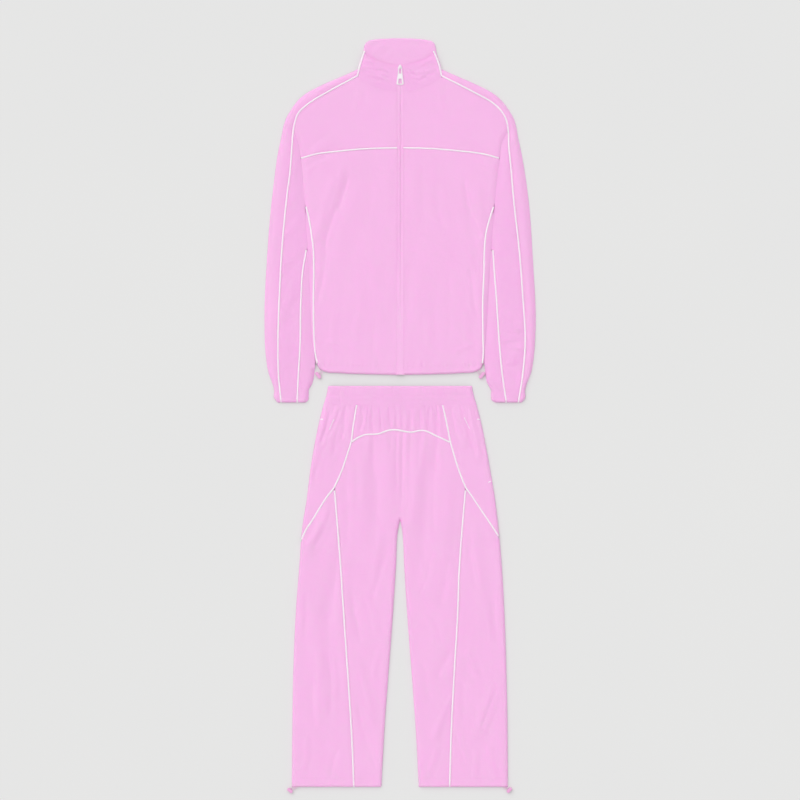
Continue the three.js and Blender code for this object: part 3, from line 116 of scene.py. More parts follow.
def tinted(tree, shade, colour, share):
    settings = {"data_type": "RGBA", 6: linear(shade), 7: linear(colour)}
    return add(tree, "ShaderNodeMix", settings, {0: share}).outputs[2]


def raised(tree, height, strength, millimetres, **normal):
    """Bump that stands up to so many millimetres high."""
    settings = {"Strength": strength, "Distance": millimetres * MM}
    return add(tree, "ShaderNodeBump", settings, {"Height": height, **normal}).outputs[0]


def surfaced(tree, settings, links):
    surface = add(tree, "ShaderNodeBsdfPrincipled", settings, links)
    add(tree, "ShaderNodeOutputMaterial", {}, {"Surface": surface.outputs[0]})


# %% [markdown]
# ## Braided cord
# The toggle cords are 1.4 mm braided polyester. Braid shows as two sets of slanting ridges that
# cross. They are drawn 1.1 mm apart, coarser than the real yarns, so that a near view shows them.

# %% Braided cord material
BRAID_TURN = 0.7


def braided_cord(name, colour, shade, yarn):
    material, tree, place = material_of(name)
    ridges = {}
    for k, turn in enumerate((BRAID_TURN, -BRAID_TURN)):
        turned = add(tree, "ShaderNodeMapping", {"Rotation": (0, 0, turn)}, {"Vector": place})
        ridges[k] = bands(tree, turned.outputs[0], yarn, 0.4)
    both = add(tree, "ShaderNodeMath", {"operation": "MAXIMUM"}, ridges).outputs[0]
    surfaced(tree, {"Roughness": 0.7, "Sheen Weight": 0.2}, {
        "Base Color": tinted(tree, shade, colour, both), "Normal": raised(tree, both, 0.5, 0.3),
    })
    return material


PALE_CORD = braided_cord("braided_polyester_cord", "#f4cfe8", "#e3b0d4", 1.1)
print("cord material:", PALE_CORD.name)

# %% [markdown]
# ## Pieces, tubes and paths
# Every piece is made in millimetres at the origin and then dressed: it is told which body it rides
# on, and the CAD solid it stands for is hidden. Cords and piping are both
# tubes along a smooth path, so one helper makes them.

# %% Tubes along a curve
SMOOTH_ANGLE = 55


def table(columns, rows):
    return [dict(zip(columns, row)) for row in rows]


def unit(vectors):
    return vectors / np.linalg.norm(vectors, axis=-1, keepdims=True)


def travelled(points):
    """Length along a line from its first point to each of its points."""
    return np.r_[0, np.cumsum(np.linalg.norm(np.diff(points, axis=0), axis=1))]


def mesh_object(name, points, faces, material, uv=None):
    """A piece from points in millimetres, at the origin, smooth where faces meet gently."""
    mesh = bpy.data.meshes.new(name)
    mesh.from_pydata((np.asarray(points) * MM).tolist(), [], [tuple(face) for face in faces])
    if uv is not None:
        corner = np.empty(len(mesh.loops), int)
        mesh.loops.foreach_get("vertex_index", corner)
        layer = mesh.uv_layers.new(name="weave")
        layer.data.foreach_set("uv", (np.asarray(uv)[corner] * MM).ravel())
    mesh.polygons.foreach_set("use_smooth", np.ones(len(mesh.polygons), bool))
    mesh.set_sharp_from_angle(angle=math.radians(SMOOTH_ANGLE))
    mesh.materials.append(material)
    made = bpy.data.objects.new(name, mesh)
    bpy.context.collection.objects.link(made)
    return made


def dressed(piece, body, slot, *nodes):
    """The piece rides on its body and stands for its CAD nodes, which are hidden; the slot is not used."""
    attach(piece, body)
    if nodes:
        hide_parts(*nodes)
    return piece


def tube(name, path, half_width, half_height, sides, material):
    """A closed tube along a path, with an oval section."""
    path = np.asarray(path, float)
    step = unit(np.gradient(path, axis=0))
    level = unit(np.cross([0, 0, 1], step))
    upward = np.cross(step, level)
    turn = np.linspace(0, 2 * np.pi, sides, endpoint=False)
    across, rise = half_width * np.cos(turn), half_height * np.sin(turn)
    rings = path[:, None] + level[:, None] * across[:, None] + upward[:, None] * rise[:, None]
    points = np.vstack([rings.reshape(-1, 3), path[:1], path[-1:]])
    start_point, end_point, last = len(points) - 2, len(points) - 1, (len(path) - 1) * sides
    faces = []
    for k in range(len(path) - 1):
        for i in range(sides):
            a, b = k * sides + i, k * sides + (i + 1) % sides
            faces.append((b, b + sides, a + sides, a))
    for i in range(sides):
        j = (i + 1) % sides
        faces.append((j, i, start_point))
        faces.append((last + i, last + j, end_point))
    length = travelled(path)
    round_it = np.tile(turn / np.pi * (half_width + half_height) / 2, len(path))
    uv = np.c_[np.r_[round_it, 0, 0], np.r_[np.repeat(length, sides), 0, length[-1]]]
    return mesh_object(name, points, faces, material, uv)


def smooth_path(points, steps):
    """A centripetal curve through the points, evenly spaced along its length."""
    points = np.asarray(points, float)
    padded = np.vstack([2 * points[0] - points[1], points, 2 * points[-1] - points[-2]])
    fine = []
    for k in range(1, len(padded) - 2):
        p = padded[k - 1:k + 3]
        knot = np.r_[0, np.cumsum(np.linalg.norm(np.diff(p, axis=0), axis=1) ** 0.5)]
        t = np.linspace(knot[1], knot[2], 24)[:, None]
        a = [(knot[i + 1] - t) / (knot[i + 1] - knot[i]) * p[i]
             + (t - knot[i]) / (knot[i + 1] - knot[i]) * p[i + 1] for i in range(3)]
        b = [(knot[i + 2] - t) / (knot[i + 2] - knot[i]) * a[i]
             + (t - knot[i]) / (knot[i + 2] - knot[i]) * a[i + 1] for i in range(2)]
        fine.append((knot[2] - t) / (knot[2] - knot[1]) * b[0] + (t - knot[1]) / (knot[2] - knot[1]) * b[1])
    fine = np.vstack(fine)
    fine = fine[np.r_[True, np.linalg.norm(np.diff(fine, axis=0), axis=1) > 1e-9]]
    length = travelled(fine)
    even = np.linspace(0, length[-1], steps + 1)
    return np.column_stack([np.interp(even, length, fine[:, k]) for k in range(3)]), length[-1]


# %% [markdown]
# ## Plastics
# The slider and its pull are white acetal, moulded: a soft gloss with a faint unevenness. The
# toggles are pink nylon, a little duller. Their colour dips slightly where the plastic cooled last.

# %% Moulded plastic
def moulded(name, colour, shade, roughness, pit):
    material, tree, place = material_of(name)
    cloudy, grain = patches(tree, place, 9, 2), patches(tree, place, pit, 1)
    range_of_gloss = {"To Min": roughness - 0.06, "To Max": roughness + 0.06}
    gloss = add(tree, "ShaderNodeMapRange", range_of_gloss, {"Value": cloudy})
    surfaced(tree, {"IOR": 1.48}, {
        "Base Color": tinted(tree, shade, colour, cloudy), "Roughness": gloss.outputs[0],
        "Normal": raised(tree, grain, 0.3, 0.08),
    })
    return material


ACETAL = moulded("moulded_acetal_white", "#faf4f9", "#f4ecf3", 0.34, 0.8)
TOGGLE_PLASTIC = moulded("moulded_nylon_pink", "#f2b2e0", "#eaa5d6", 0.42, 0.9)
COIL_PLASTIC = moulded("nylon_coil_pink", "#ffcdf4", "#fcc6f0", 0.5, 0.9)
print("plastics:", ACETAL.name, TOGGLE_PLASTIC.name, COIL_PLASTIC.name)

# %% [markdown]
# ## Hard pieces with softened edges
# A moulded part never has a razor edge. Each CAD solid is copied, its loose triangles are merged,
# and a small bevel rounds every sharp edge. The copy then stands for the solid.

# %% Copies with soft edges
def softened(node, body, slot, material, width):
    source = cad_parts[node]
    mesh = source.data.copy()
    mesh.materials.clear()
    mesh.materials.append(material)
    made = bpy.data.objects.new(node + "_moulded", mesh)
    bpy.context.collection.objects.link(made)
    weld = made.modifiers.new("weld", "WELD")
    weld.merge_threshold = 0.00001
    bevel = made.modifiers.new("bevel", "BEVEL")
    bevel.width = width * MM
    bevel.segments = 2
    bevel.limit_method = "ANGLE"
    bevel.angle_limit = math.radians(28)
    bevel.harden_normals = False
    made.data.polygons.foreach_set("use_smooth", np.ones(len(made.data.polygons), bool))
    graph = bpy.context.evaluated_depsgraph_get()
    final = bpy.data.meshes.new_from_object(made.evaluated_get(graph))
    made.modifiers.clear()
    made.data = final
    final.set_sharp_from_angle(angle=math.radians(40))
    return dressed(made, body, slot, node)


# %% [markdown]
# ## Toggle cords
# A short loop of cord comes out of the hem, turns round inside its toggle and goes back in. There
# is one at each side of the jacket's hem and one at each ankle. Each is a round tube along one
# smooth curve, on the route of its CAD solid. Its ends sit inside the hem.

# %% Toggle cords
CORD_RADIUS = 0.7
CORD_HEIGHT = 3.6
CORD_STRAND = 2.8
CORD_DEEP = 0.8
TOGGLES = table(["name", "side", "out", "up", "angle", "wide", "strands"], [
    ["hem_left", -1, 196.8, 90.5, 51, 7.5, (190.5, 101.5, 185.5, 99.8)],
    ["hem_right", 1, 196.8, 90.5, 51, 7.5, (190.5, 101.5, 185.5, 99.8)],
    ["ankle_left", -1, 264.4, -907, 40, 7, (251.6, -898.5, 247, -898.5)],
    ["ankle_right", 1, 262.4, -906, 45, 7, (251.6, -898.5, 247, -898.5)],
])
HEM_DEPTH = 6
for toggle in TOGGLES:
    side, turn = toggle["side"], math.radians(toggle["angle"])
    outwards = np.array([side * math.cos(turn), math.sin(turn)])
    towards_hem = np.array([-side * math.sin(turn), math.cos(turn)])
    middle = np.array([side * toggle["out"], toggle["up"]])
    first_out, first_up, next_out, next_up = toggle["strands"]
    beyond = toggle["wide"] / 2 + 1
    arc = [
        middle + outwards * CORD_STRAND * math.cos(math.pi * t)
        + towards_hem * (CORD_DEEP - CORD_STRAND * math.sin(math.pi * t))
        for t in np.linspace(0, 1, 7)
    ]
    route = [
        (side * (first_out - 2.5), first_up + HEM_DEPTH),
        (side * first_out, first_up),
        middle + outwards * CORD_STRAND + towards_hem * beyond,
        *arc,
        middle - outwards * CORD_STRAND + towards_hem * beyond,
        (side * next_out, next_up),
        (side * (next_out - 2), next_up + HEM_DEPTH),
    ]
    path, length = smooth_path([(*p, CORD_HEIGHT) for p in route], 60)
    lock = softened(
        toggle["name"].replace("_", "_cord_lock_"), "suit", "pink_plastic", TOGGLE_PLASTIC, 0.5)
    node = toggle["name"].replace("_", "_cord_")
    cord = tube(node + "_braid", path, CORD_RADIUS, CORD_RADIUS, 12, PALE_CORD)
    dressed(cord, "suit", "pale_cord", node)
    print(node, "length, mm:", round(length, 1))

# %% [markdown]
# ## Studio
# A pale floor, an even white sky that fills the shadows, and one broad soft light from the upper
# left that models the folds. Together they give level cloth the brightness of its own colour.

# %% Studio
FLOOR = 4000
FLOOR_DROP = 0.3
SKY = 0.745
SUN_SHARE = 0.265
SUN_HEIGHT = math.radians(46)
SUN_TURN = math.radians(35)

floor_material, floor_tree, floor_place = material_of("painted_studio_floor")
floor_tint = tinted(floor_tree, "#e4e4e4", "#e6e6e5", patches(floor_tree, floor_place, 600, 1))
surfaced(floor_tree, {"Roughness": 0.9, "Specular IOR Level": 0.0}, {"Base Color": floor_tint})
corners = [(x * FLOOR, y * FLOOR, -FLOOR_DROP) for x, y in ((-1, -1), (1, -1), (1, 1), (-1, 1))]
floor = mesh_object("studio_floor", corners, [(0, 1, 2, 3)], floor_material)

world = bpy.data.worlds.new("soft_white_room")
world.use_nodes = True
background = world.node_tree.nodes["Background"]
background.inputs["Color"].default_value = (1, 1, 1, 1)
background.inputs["Strength"].default_value = SKY
bpy.context.scene.world = world
sun_data = bpy.data.lights.new("broad_soft_light", "SUN")
sun_data.energy = SUN_SHARE * math.pi / math.sin(SUN_HEIGHT)
sun_data.angle = math.radians(60)
sun = bpy.data.objects.new("broad_soft_light", sun_data)
sun.rotation_euler = (math.pi / 2 - SUN_HEIGHT, 0, math.pi + SUN_TURN)
bpy.context.collection.objects.link(sun)
bpy.context.scene.view_settings.view_transform = "Standard"
print("light on level cloth:", SKY + SUN_SHARE)

# %% [markdown]
# ## Knitted cloth
# Polyester tricot is a fine warp knit. Its face has upright ribs, called wales, about 0.8 mm
# apart, and a soft sheen from its filament yarns. The wales are drawn 1.6 mm apart, because finer
# ones can't show. A crinkle bump gives the small unevenness that ironing leaves.

# %% Knitted cloth material
def knitted(name, colour, shade, wale, relief, crinkle_size, crinkle, roughness, sheen):
    material, tree, place = material_of(name)
    weave = add(tree, "ShaderNodeUVMap", {"uv_map": "weave"}).outputs["UV"]
    wales = bands(tree, weave, wale, 0.25, bands_direction="X")
    courses = bands(tree, weave, wale * 0.8, 0.5, bands_direction="Y")
    loops = add(tree, "ShaderNodeMath", {"operation": "MULTIPLY_ADD", 1: 0.35}, {0: courses, 2: wales})
    fine = raised(tree, loops.outputs[0], 0.5, relief)
    crumple = patches(tree, place, crinkle_size, 2, Roughness=0.45)
    surfaced(tree, {
        "Roughness": roughness, "Specular IOR Level": 0.25,
        "Sheen Weight": sheen, "Sheen Roughness": 0.4, "Sheen Tint": linear("#ffe0f6"),
        "subsurface_method": "BURLEY", "Subsurface Weight": 0.4,
        "Subsurface Radius": (1.0, 0.12, 0.8), "Subsurface Scale": 0.0018,
    }, {
        "Base Color": tinted(tree, shade, colour, patches(tree, place, 140, 2)),
        "Normal": raised(tree, crumple, 1.0, crinkle, Normal=fine),
    })
    return material


TRICOT = knitted("polyester_tricot_pink", "#f7bbe9", "#f6b8e8", 1.6, 0.1, 14, 0.35, 0.6, 0.06)
# A darker copy of the tricot for the sleeve fronts, underarm panels, side panels and collar fronts: painted
# shade for the shade beside the body and on the collar.
PAINTED_SHADE_TRICOT = knitted("polyester_tricot_pink_painted_shade", "#f6b8e8", "#f4b3e6", 1.6, 0.1, 12, 0.45, 0.6, 0.06)
GATHERED = knitted("gathered_tricot_pink", "#f7bae9", "#f5b6e7", 1.6, 0.12, 8, 0.35, 0.6, 0.06)
SATIN = knitted("satin_piping_white", "#fbf1f9", "#f8eaf5", 0.9, 0.10, 10, 0.15, 0.4, 0.1)
TAPE = knitted("woven_zip_tape_pink", "#fac0ed", "#f8bcea", 1.2, 0.1, 12, 0.1, 0.6, 0.05)
print("cloths:", TRICOT.name, GATHERED.name, SATIN.name, TAPE.name)

# %% [markdown]
# ## Where the seams run
# The tables repeat the CAD model's named lines, in millimetres. "up" is a place along the suit,
# and "out" is a distance from its middle. One curve through each table gives a seam or an edge.

# %% Seam tables
UP_LINES = {
    "sleeve_edge": table(["up", "left", "right"], [
        [25, 294, 292], [33, 301, 299], [55, 302.5, 300.5], [100, 317, 315.5], [141, 323, 322],
        [209, 325.8, 325.8], [362, 320.5, 319.5], [530, 306, 306.5], [650, 288, 286],
        [720, 267, 266], [765, 229, 227], [825, 102.5, 101.5],
    ]),
    "sleeve_seam": table(["up", "left", "right"], [
        [25, 285.5, 284], [86, 291.5, 293.5], [170, 293, 300.3], [273, 290, 295],
        [374, 285, 287.5], [530, 270.5, 271], [585, 263.5, 266.5], [640, 259.5, 261],
        [674, 257, 260], [700, 252, 256], [720, 244, 246.5], [743, 219, 224],
        [773, 169.5, 171], [809, 102.5, 99.5],
    ]),
    "arm_line": table(["up", "left", "right"], [
        [25, 227, 228.5], [30, 221.5, 221], [40, 219.8, 218.8], [54, 219.5, 218.5],
        [72, 210.5, 209.5], [97, 206, 205], [128, 204.5, 202], [163, 211, 204.5],
        [223, 214.5, 208.5], [319, 218, 214],
        [415, 223.5, 220], [506, 229.5, 228], [612, 239, 239], [645, 244.5, 243.5],
        [680, 256, 259],
    ]),
    "side_seam": table(["up", "left", "right"], [
        [117, 198.5, 197.6], [139, 203.2, 199.6], [175, 206, 199], [271, 208, 198.4],
        [343, 207, 201.4], [391, 208, 202.4], [434, 213.5, 206.6], [469, 219.5, 216],
        [495, 226, 224.5],
    ]),
    "underarm_seam": table(["up", "left", "right"], [
        [25, 247, 255], [79, 245, 247], [151, 240.5, 239.5], [271, 238, 231.5],
        [343, 233.5, 226], [392, 225.2, 222.8],
    ]),
    "collar_side": table(["up", "left", "right"], [
        [809, 102.5, 99.5], [835, 96, 93.5], [850, 91, 88.5], [868, 85.5, 80.5],
    ]),
    "collar_flank": table(["up", "left", "right"], [
        [813, 102.5, 101], [835, 98, 97], [862, 88.3, 88.6], [876, 86.6, 85.6], [885, 84.2, 83.5],
        [890, 81, 80.5],
    ]),
    "trouser_edge": table(["up", "left", "right"], [
        [-898.5, 260, 259], [-787, 259, 258.5], [-641, 257, 256], [-473, 250, 250.5],
        [-360, 241.5, 244], [-276, 235, 236.5], [-209, 224.5, 228.5], [-137, 215.5, 216.5],
        [-58, 202, 202], [-12, 192, 192], [20, 183.5, 183.5],
    ]),
    "waist_edge": table(["up", "left", "right"], [
        [20, 183.5, 183.5], [38, 178, 178], [64.6, 172.3, 172.3],
    ]),
    "inseam": table(["up", "left", "right"], [
        [-898.5, 45, 45], [-751, 37, 37], [-641, 29, 29], [-473, 16.5, 16.5], [-368, 10, 10],
        [-276, 4, 4], [-258, 0.4, 0.4],
    ]),
    "yoke_seam": table(["up", "left", "right"], [
        [-179, 158, 157.5], [-146, 143, 144], [-97, 126, 128.5], [-71, 118, 121],
        [-38, 113.5, 114.5], [20, 104, 102],
    ]),
    "leg_seam": table(["up", "left", "right"], [
        [-898.5, 111, 119], [-787, 115.5, 122], [-641, 124.5, 129], [-473, 136, 138.5],
        [-387, 141.5, 141.5], [-258, 151.5, 150.5], [-179, 158, 157.5],
    ]),
}
ACROSS_LINES = {
    "chest_seam": table(["out", "left", "right"], [
        [0, 636.5, 636.5], [90, 633.5, 633.5], [145, 628.5, 628.5], [200, 621.5, 621.5],
        [239, 611, 611],
    ]),
    "hem_seam": table(["out", "left", "right"], [
        [0, 114, 114], [100, 115.5, 115.5], [200, 118, 118],
    ]),
    "hem": table(["out", "left", "right"], [
        [0, 91.5, 91.5], [85, 93, 93], [150, 96, 96], [182, 99.5, 99.5], [195, 106.5, 106.5],
    ]),
    "neck_seam": table(["out", "left", "right"], [
        [0, 770, 770], [24, 772.5, 772.5], [66, 784.5, 784.5], [102, 806, 806],
    ]),
    "collar_top": table(["out", "left", "right"], [
        [0, 832, 832], [36, 840, 841], [62, 849, 852], [84, 861.5, 868],
    ]),
    "hip_seam": table(["out", "left", "right"], [
        [157.7, -179, -179], [176, -202, -205], [196, -233.5, -235], [215, -264, -263],
        [227, -282.5, -281], [237, -305, -297],
    ]),
}
WHOLE_LINES = {
    "collar_rim": table(["out", "up"], [
        [-81, 890], [-76, 893.4], [-69, 895.4], [-56, 897.4], [-29, 899.2], [0, 899.8],
        [30, 899], [56, 896.9], [68, 895], [76, 892.6], [80.5, 890],
    ]),
    "nape": table(["out", "up"], [[-105, 812], [-60, 822], [0, 828], [60, 822], [103, 812]]),
    "arch": table(["out", "up"], [
        [-118, -71], [-104, -61], [-88, -53.5], [-50, -49.7], [-29, -42], [-15, -40.5],
        [27, -46], [55, -42], [88, -55.5], [121, -71],
    ]),
}
print("seam lines:", len(UP_LINES) + len(ACROSS_LINES) + len(WHOLE_LINES))

# %% [markdown]
# ## From tables to lines
# A pattern maker draws one curve through measured points. Here it is a cubic that keeps the slope
# between neighbours. Lines are named, so that two panels that meet share one seam. A few more
# lines follow from the tables, such as the whole hem or the seam from the leg to the yoke.

# %% Lines from the tables
SIDES = {-1: "left", 1: "right"}
WAIST_SEAM = 20
YOKE_TIP = -179
BACK_CORNER = 277.5
CASING_SIDE = ((195, 106.5), (200, 118))


def follow(rows, along, column):
    """Smooth value of one column at a place given in another."""
    place = np.array([row[along] for row in rows], float)
    value = np.array([row[column] for row in rows], float)
    step = np.diff(place)
    rate = np.diff(value) / step
    slope = np.r_[rate[0], (rate[1:] * step[:-1] + rate[:-1] * step[1:]) / (step[:-1] + step[1:]), rate[-1]]

    def at(x):
        x = np.asarray(x, float)
        k = np.clip(np.searchsorted(place, x, side="right") - 1, 0, len(step) - 1)
        t = (x - place[k]) / step[k]
        t2, t3 = t * t, t * t * t
        bent = slope[k] * (t3 - 2 * t2 + t) + slope[k + 1] * (t3 - t2)
        return value[k] * (2 * t3 - 3 * t2 + 1) + value[k + 1] * (3 * t2 - 2 * t3) + step[k] * bent

    return at


def up_line(name, column):
    out = follow(UP_LINES[name], "up", column)
    return lambda up: np.column_stack([out(up), up])


def across_line(name, column):
    up = follow(ACROSS_LINES[name], "out", column)
    return lambda out: np.column_stack([out, up(np.abs(out))])


def whole_line(name, side=1):
    up = follow(WHOLE_LINES[name], "out", "up")
    return lambda out: np.column_stack([out, up(side * np.asarray(out))])


def upright(out):
    return lambda up: np.column_stack([np.full(len(up), float(out)), up])


def straight(a, b):
    a, b = np.ravel(a), np.ravel(b)
    return lambda t: a + (b - a) * np.asarray(t)[:, None]


def point_on(line, place):
    return line(np.array([float(place)]))[0]


def lines_of(side):
    """Every named line of one half, with the distance out counted from the suit's middle."""
    column = SIDES[side]
    lines = {name: up_line(name, column) for name in UP_LINES}
    lines.update({name: across_line(name, column) for name in ACROSS_LINES})
    lines.update({name: whole_line(name, side) for name in WHOLE_LINES})
    lines["centre"], lines["back_corner"] = upright(0), upright(BACK_CORNER)
    lines["casing_side"] = straight(*CASING_SIDE)
    lines["waist_seam"] = lambda out: np.column_stack([out, np.full(len(out), float(WAIST_SEAM))])
    lines["leg_to_yoke"] = lambda up: np.where(
        (np.asarray(up) < YOKE_TIP)[:, None], lines["leg_seam"](up), lines["yoke_seam"](up))
    return lines


LINES = {side: lines_of(side) for side in SIDES}
print("collar point seam to shoulder, mm:", point_on(LINES[-1]["sleeve_seam"], 809))

# %% [markdown]
# ## How a panel is filled
# A panel is cut between four edges. A grid of points between the edges follows all four, in the
# way a tailor's cloth follows its pattern, and lies closer where the cloth turns over a fold or
# dips into a seam. Each edge may be made of stretches, so that facing edges keep in step. Every
# edge moves in by its seam allowance and is trimmed where its neighbours cut it off, so that no
# cell folds back on itself in a corner.

# %% Edges and grids
SEAM = 0.01
BESIDE_ARM = 0.05
UNDER_PIPING = 1.5
CELL = 3.4
EDGE_SAMPLES = 240
MIRROR = np.array([-1, 1])
MARKS = {
    "roll": [0.25, 0.9, 1.9, 3.2, 4.8, 6.6, 8.6],
    "seam": [0.7, 1.7, 3.0],
    "piping": [0.9, 2.0, 3.4],
    "fold": [0.6, 1.3, 2.2],
    "open": [0.5, 1.4],
}


def edge(side, inset, *stretches):
    """An edge of one or more stretches, each a line's name with its first and last place.

    Two names and a place give the straight stretch between two lines. A fourth value is the
    stretch's own allowance."""
    parts = []
    for name, start, end, *own in stretches:
        line = LINES[side][name]
        if isinstance(start, str):
            line = straight(line([end]), LINES[side][start]([end]))
            start, end = 0, 1
        points = line(np.linspace(start, end, EDGE_SAMPLES))
        parts.append((travelled(points), points, own[0] if own else inset))
    return parts


def flip(parts):
    """An edge of the left half, mirrored to its true place."""
    return [(length, points * MIRROR, inset) for length, points, inset in parts]


def along(parts, places, trim=(0.0, 0.0)):
    """Points of an edge and their allowances: place 0 to 1 is on its first stretch, and so on.

    A trim shortens the edge at its start and its end."""
    k = np.minimum(places.astype(int), len(parts) - 1)
    points, inset = np.empty((len(places), 2)), np.empty(len(places))
    for i, (length, line, allowance) in enumerate(parts):
        here = k == i
        start = trim[0] if i == 0 else 0.0
        end = length[-1] - (trim[1] if i == len(parts) - 1 else 0.0)
        goal = start + (places[here] - i) * (end - start)
        points[here] = np.column_stack([np.interp(goal, length, line[:, c]) for c in (0, 1)])
        inset[here] = allowance
    return points, inset


def stations(one, other, cell, start, end):
    """Places along two facing edges: even, and closer near a fold or a seam."""
    places = [np.zeros(1)]
    for k, (a, b) in enumerate(zip(one, other)):
        length = (a[0][-1] + b[0][-1]) / 2
        near = MARKS[start] if k == 0 else []
        far = [length - mark for mark in reversed(MARKS[end])] if k == len(one) - 1 else []
        low, high = (near[-1] if near else 0), (far[0] if far else length)
        if high - low < 1:
            near, far, low, high = [], [], 0, length
        middle = np.linspace(low, high, max(1, round((high - low) / cell)) + 1)
        here = np.r_[near[:-1], middle, far[1:], [length] if far else []]
        places.append(k + here[here > 0] / length)
    return np.concatenate(places)


def moved(points, inset, turn):
    """A line moved to its left (1) or right (-1) by its seam allowance, mitred."""
    step = unit(np.diff(points, axis=0))
    normal = np.vstack([step[:1], step]) + np.vstack([step, step[-1:]])
    size = np.linalg.norm(normal, axis=1)
    normal /= size[:, None]
    shift = turn * inset * 2 / np.maximum(size, 1)
    return points + shift[:, None] * np.column_stack([-normal[:, 1], normal[:, 0]])


def crossing(a0, a1, b0, b1):
    a, b, c = a1 - a0, b1 - b0, b0 - a0
    return a0 + a * (c[0] * b[1] - c[1] * b[0]) / (a[0] * b[1] - a[1] * b[0])


def share_along(points):
    length = travelled(points)
    return length / length[-1]


def reach(tip, following, corner):
    """How far a corner lies along a line from its tip."""
    step = following - tip
    return max(0.0, float((corner - tip) @ step / np.linalg.norm(step)))


def grid_between(edges, rows, columns):
    """A grid whose four borders are the four edges, each moved in by its allowance."""
    trims = {name: (0.0, 0.0) for name in edges}
    for _ in range(2):
        inner = moved(*along(edges["inner"], rows, trims["inner"]), -1)
        outer = moved(*along(edges["outer"], rows, trims["outer"]), 1)
        low = moved(*along(edges["low"], columns, trims["low"]), 1)
        high = moved(*along(edges["high"], columns, trims["high"]), -1)
        a = crossing(inner[0], inner[1], low[0], low[1])
        b = crossing(outer[0], outer[1], low[-1], low[-2])
        c = crossing(outer[-1], outer[-2], high[-1], high[-2])
        d = crossing(inner[-1], inner[-2], high[0], high[1])
        if any(max(trim) for trim in trims.values()):
            break
        trims = {
            "inner": (reach(inner[0], inner[1], a), reach(inner[-1], inner[-2], d)),
            "outer": (reach(outer[0], outer[1], b), reach(outer[-1], outer[-2], c)),
            "low": (reach(low[0], low[1], a), reach(low[-1], low[-2], b)),
            "high": (reach(high[0], high[1], d), reach(high[-1], high[-2], c)),
        }
    inner[0], low[0], outer[0], low[-1] = a, a, b, b
    inner[-1], high[0], outer[-1], high[-1] = d, d, c, c
    low_share, high_share = share_along(low), share_along(high)
    inner_share, outer_share = share_along(inner), share_along(outer)
    half = ((inner_share + outer_share) / 2)[:, None]
    u = (low_share + (high_share - low_share) * half)[..., None]
    v = inner_share[:, None, None] + (outer_share - inner_share)[:, None, None] * u
    sides = low * (1 - v) + high * v + inner[:, None] * (1 - u) + outer[:, None] * u
    corners = (inner[0] * (1 - u) * (1 - v) + outer[0] * u * (1 - v)
               + inner[-1] * (1 - u) * v + outer[-1] * u * v)
    return sides - corners


print("cells of", CELL, "mm; marks by a fold:", MARKS["roll"])

# %% [markdown]
# ## Creases
# Every crease that the picture shows is a row: where it starts and ends, how far its middle bows
# to one side, how wide it is, and how far it stands up (or sinks, where negative). A crease fades
# in and out, and a ridge has a shallow trough on one side, as cloth that was pushed together has.
# The first rows are the CAD model's large folds.

# %% Crease tables
CREASE_COLUMNS = ["x", "y", "to_x", "to_y", "bow", "wide", "rise"]
LARGE_FOLDS = table(CREASE_COLUMNS, [
    [-112, 590, -198, 330, 0, 13, -1.8], [-150, 590, -214, 390, 0, 12, 2.2],
    [152, 570, 196, 300, 0, 12, -1.6], [186, 560, 200, 380, 0, 11, 2.0],
    [-250, 330, -288, 210, 0, 9, 2.4], [-300, 300, -268, 120, 0, 9, 1.8],
    [246, 480, 284, 420, 0, 9, 2.2], [240, 250, 292, 190, 0, 9, 2.6],
    [296, 170, 262, 110, 0, 9, 2.2], [-175, 14, -205, -150, 0, 8, 2.8],
    [-150, 14, -176, -110, 0, 8, 2.6], [136, 14, 160, -90, 0, 8, 2.6],
    [160, 14, 194, -130, 0, 8, 2.8], [-64, -60, -56, -280, 0, 15, -2.2],
    [-96, -80, -88, -330, 0, 16, 2.4], [-26, -60, -22, -250, 0, 12, 1.8],
    [84, -60, 40, -440, 0, 14, -2.4], [52, -60, 22, -300, 0, 13, 2.4],
    [118, -100, 104, -420, 0, 16, 2.0], [-166, -215, -224, -350, 0, 12, 2.6],
    [-152, -320, -178, -530, 0, 14, -2.2], [-210, -440, -186, -760, 0, 18, 2.6],
    [-118, -430, -92, -560, 0, 12, -2.0], [-110, -570, -60, -760, 0, 12, 2.4],
    [-104, -690, -54, -860, 0, 11, -2.0], [176, -250, 206, -520, 0, 16, 2.2],
    [232, -630, 178, -790, 0, 14, 2.2], [124, -560, 84, -640, 0, 11, -1.3],
    [120, -670, 76, -790, 0, 11, 2.4],
])
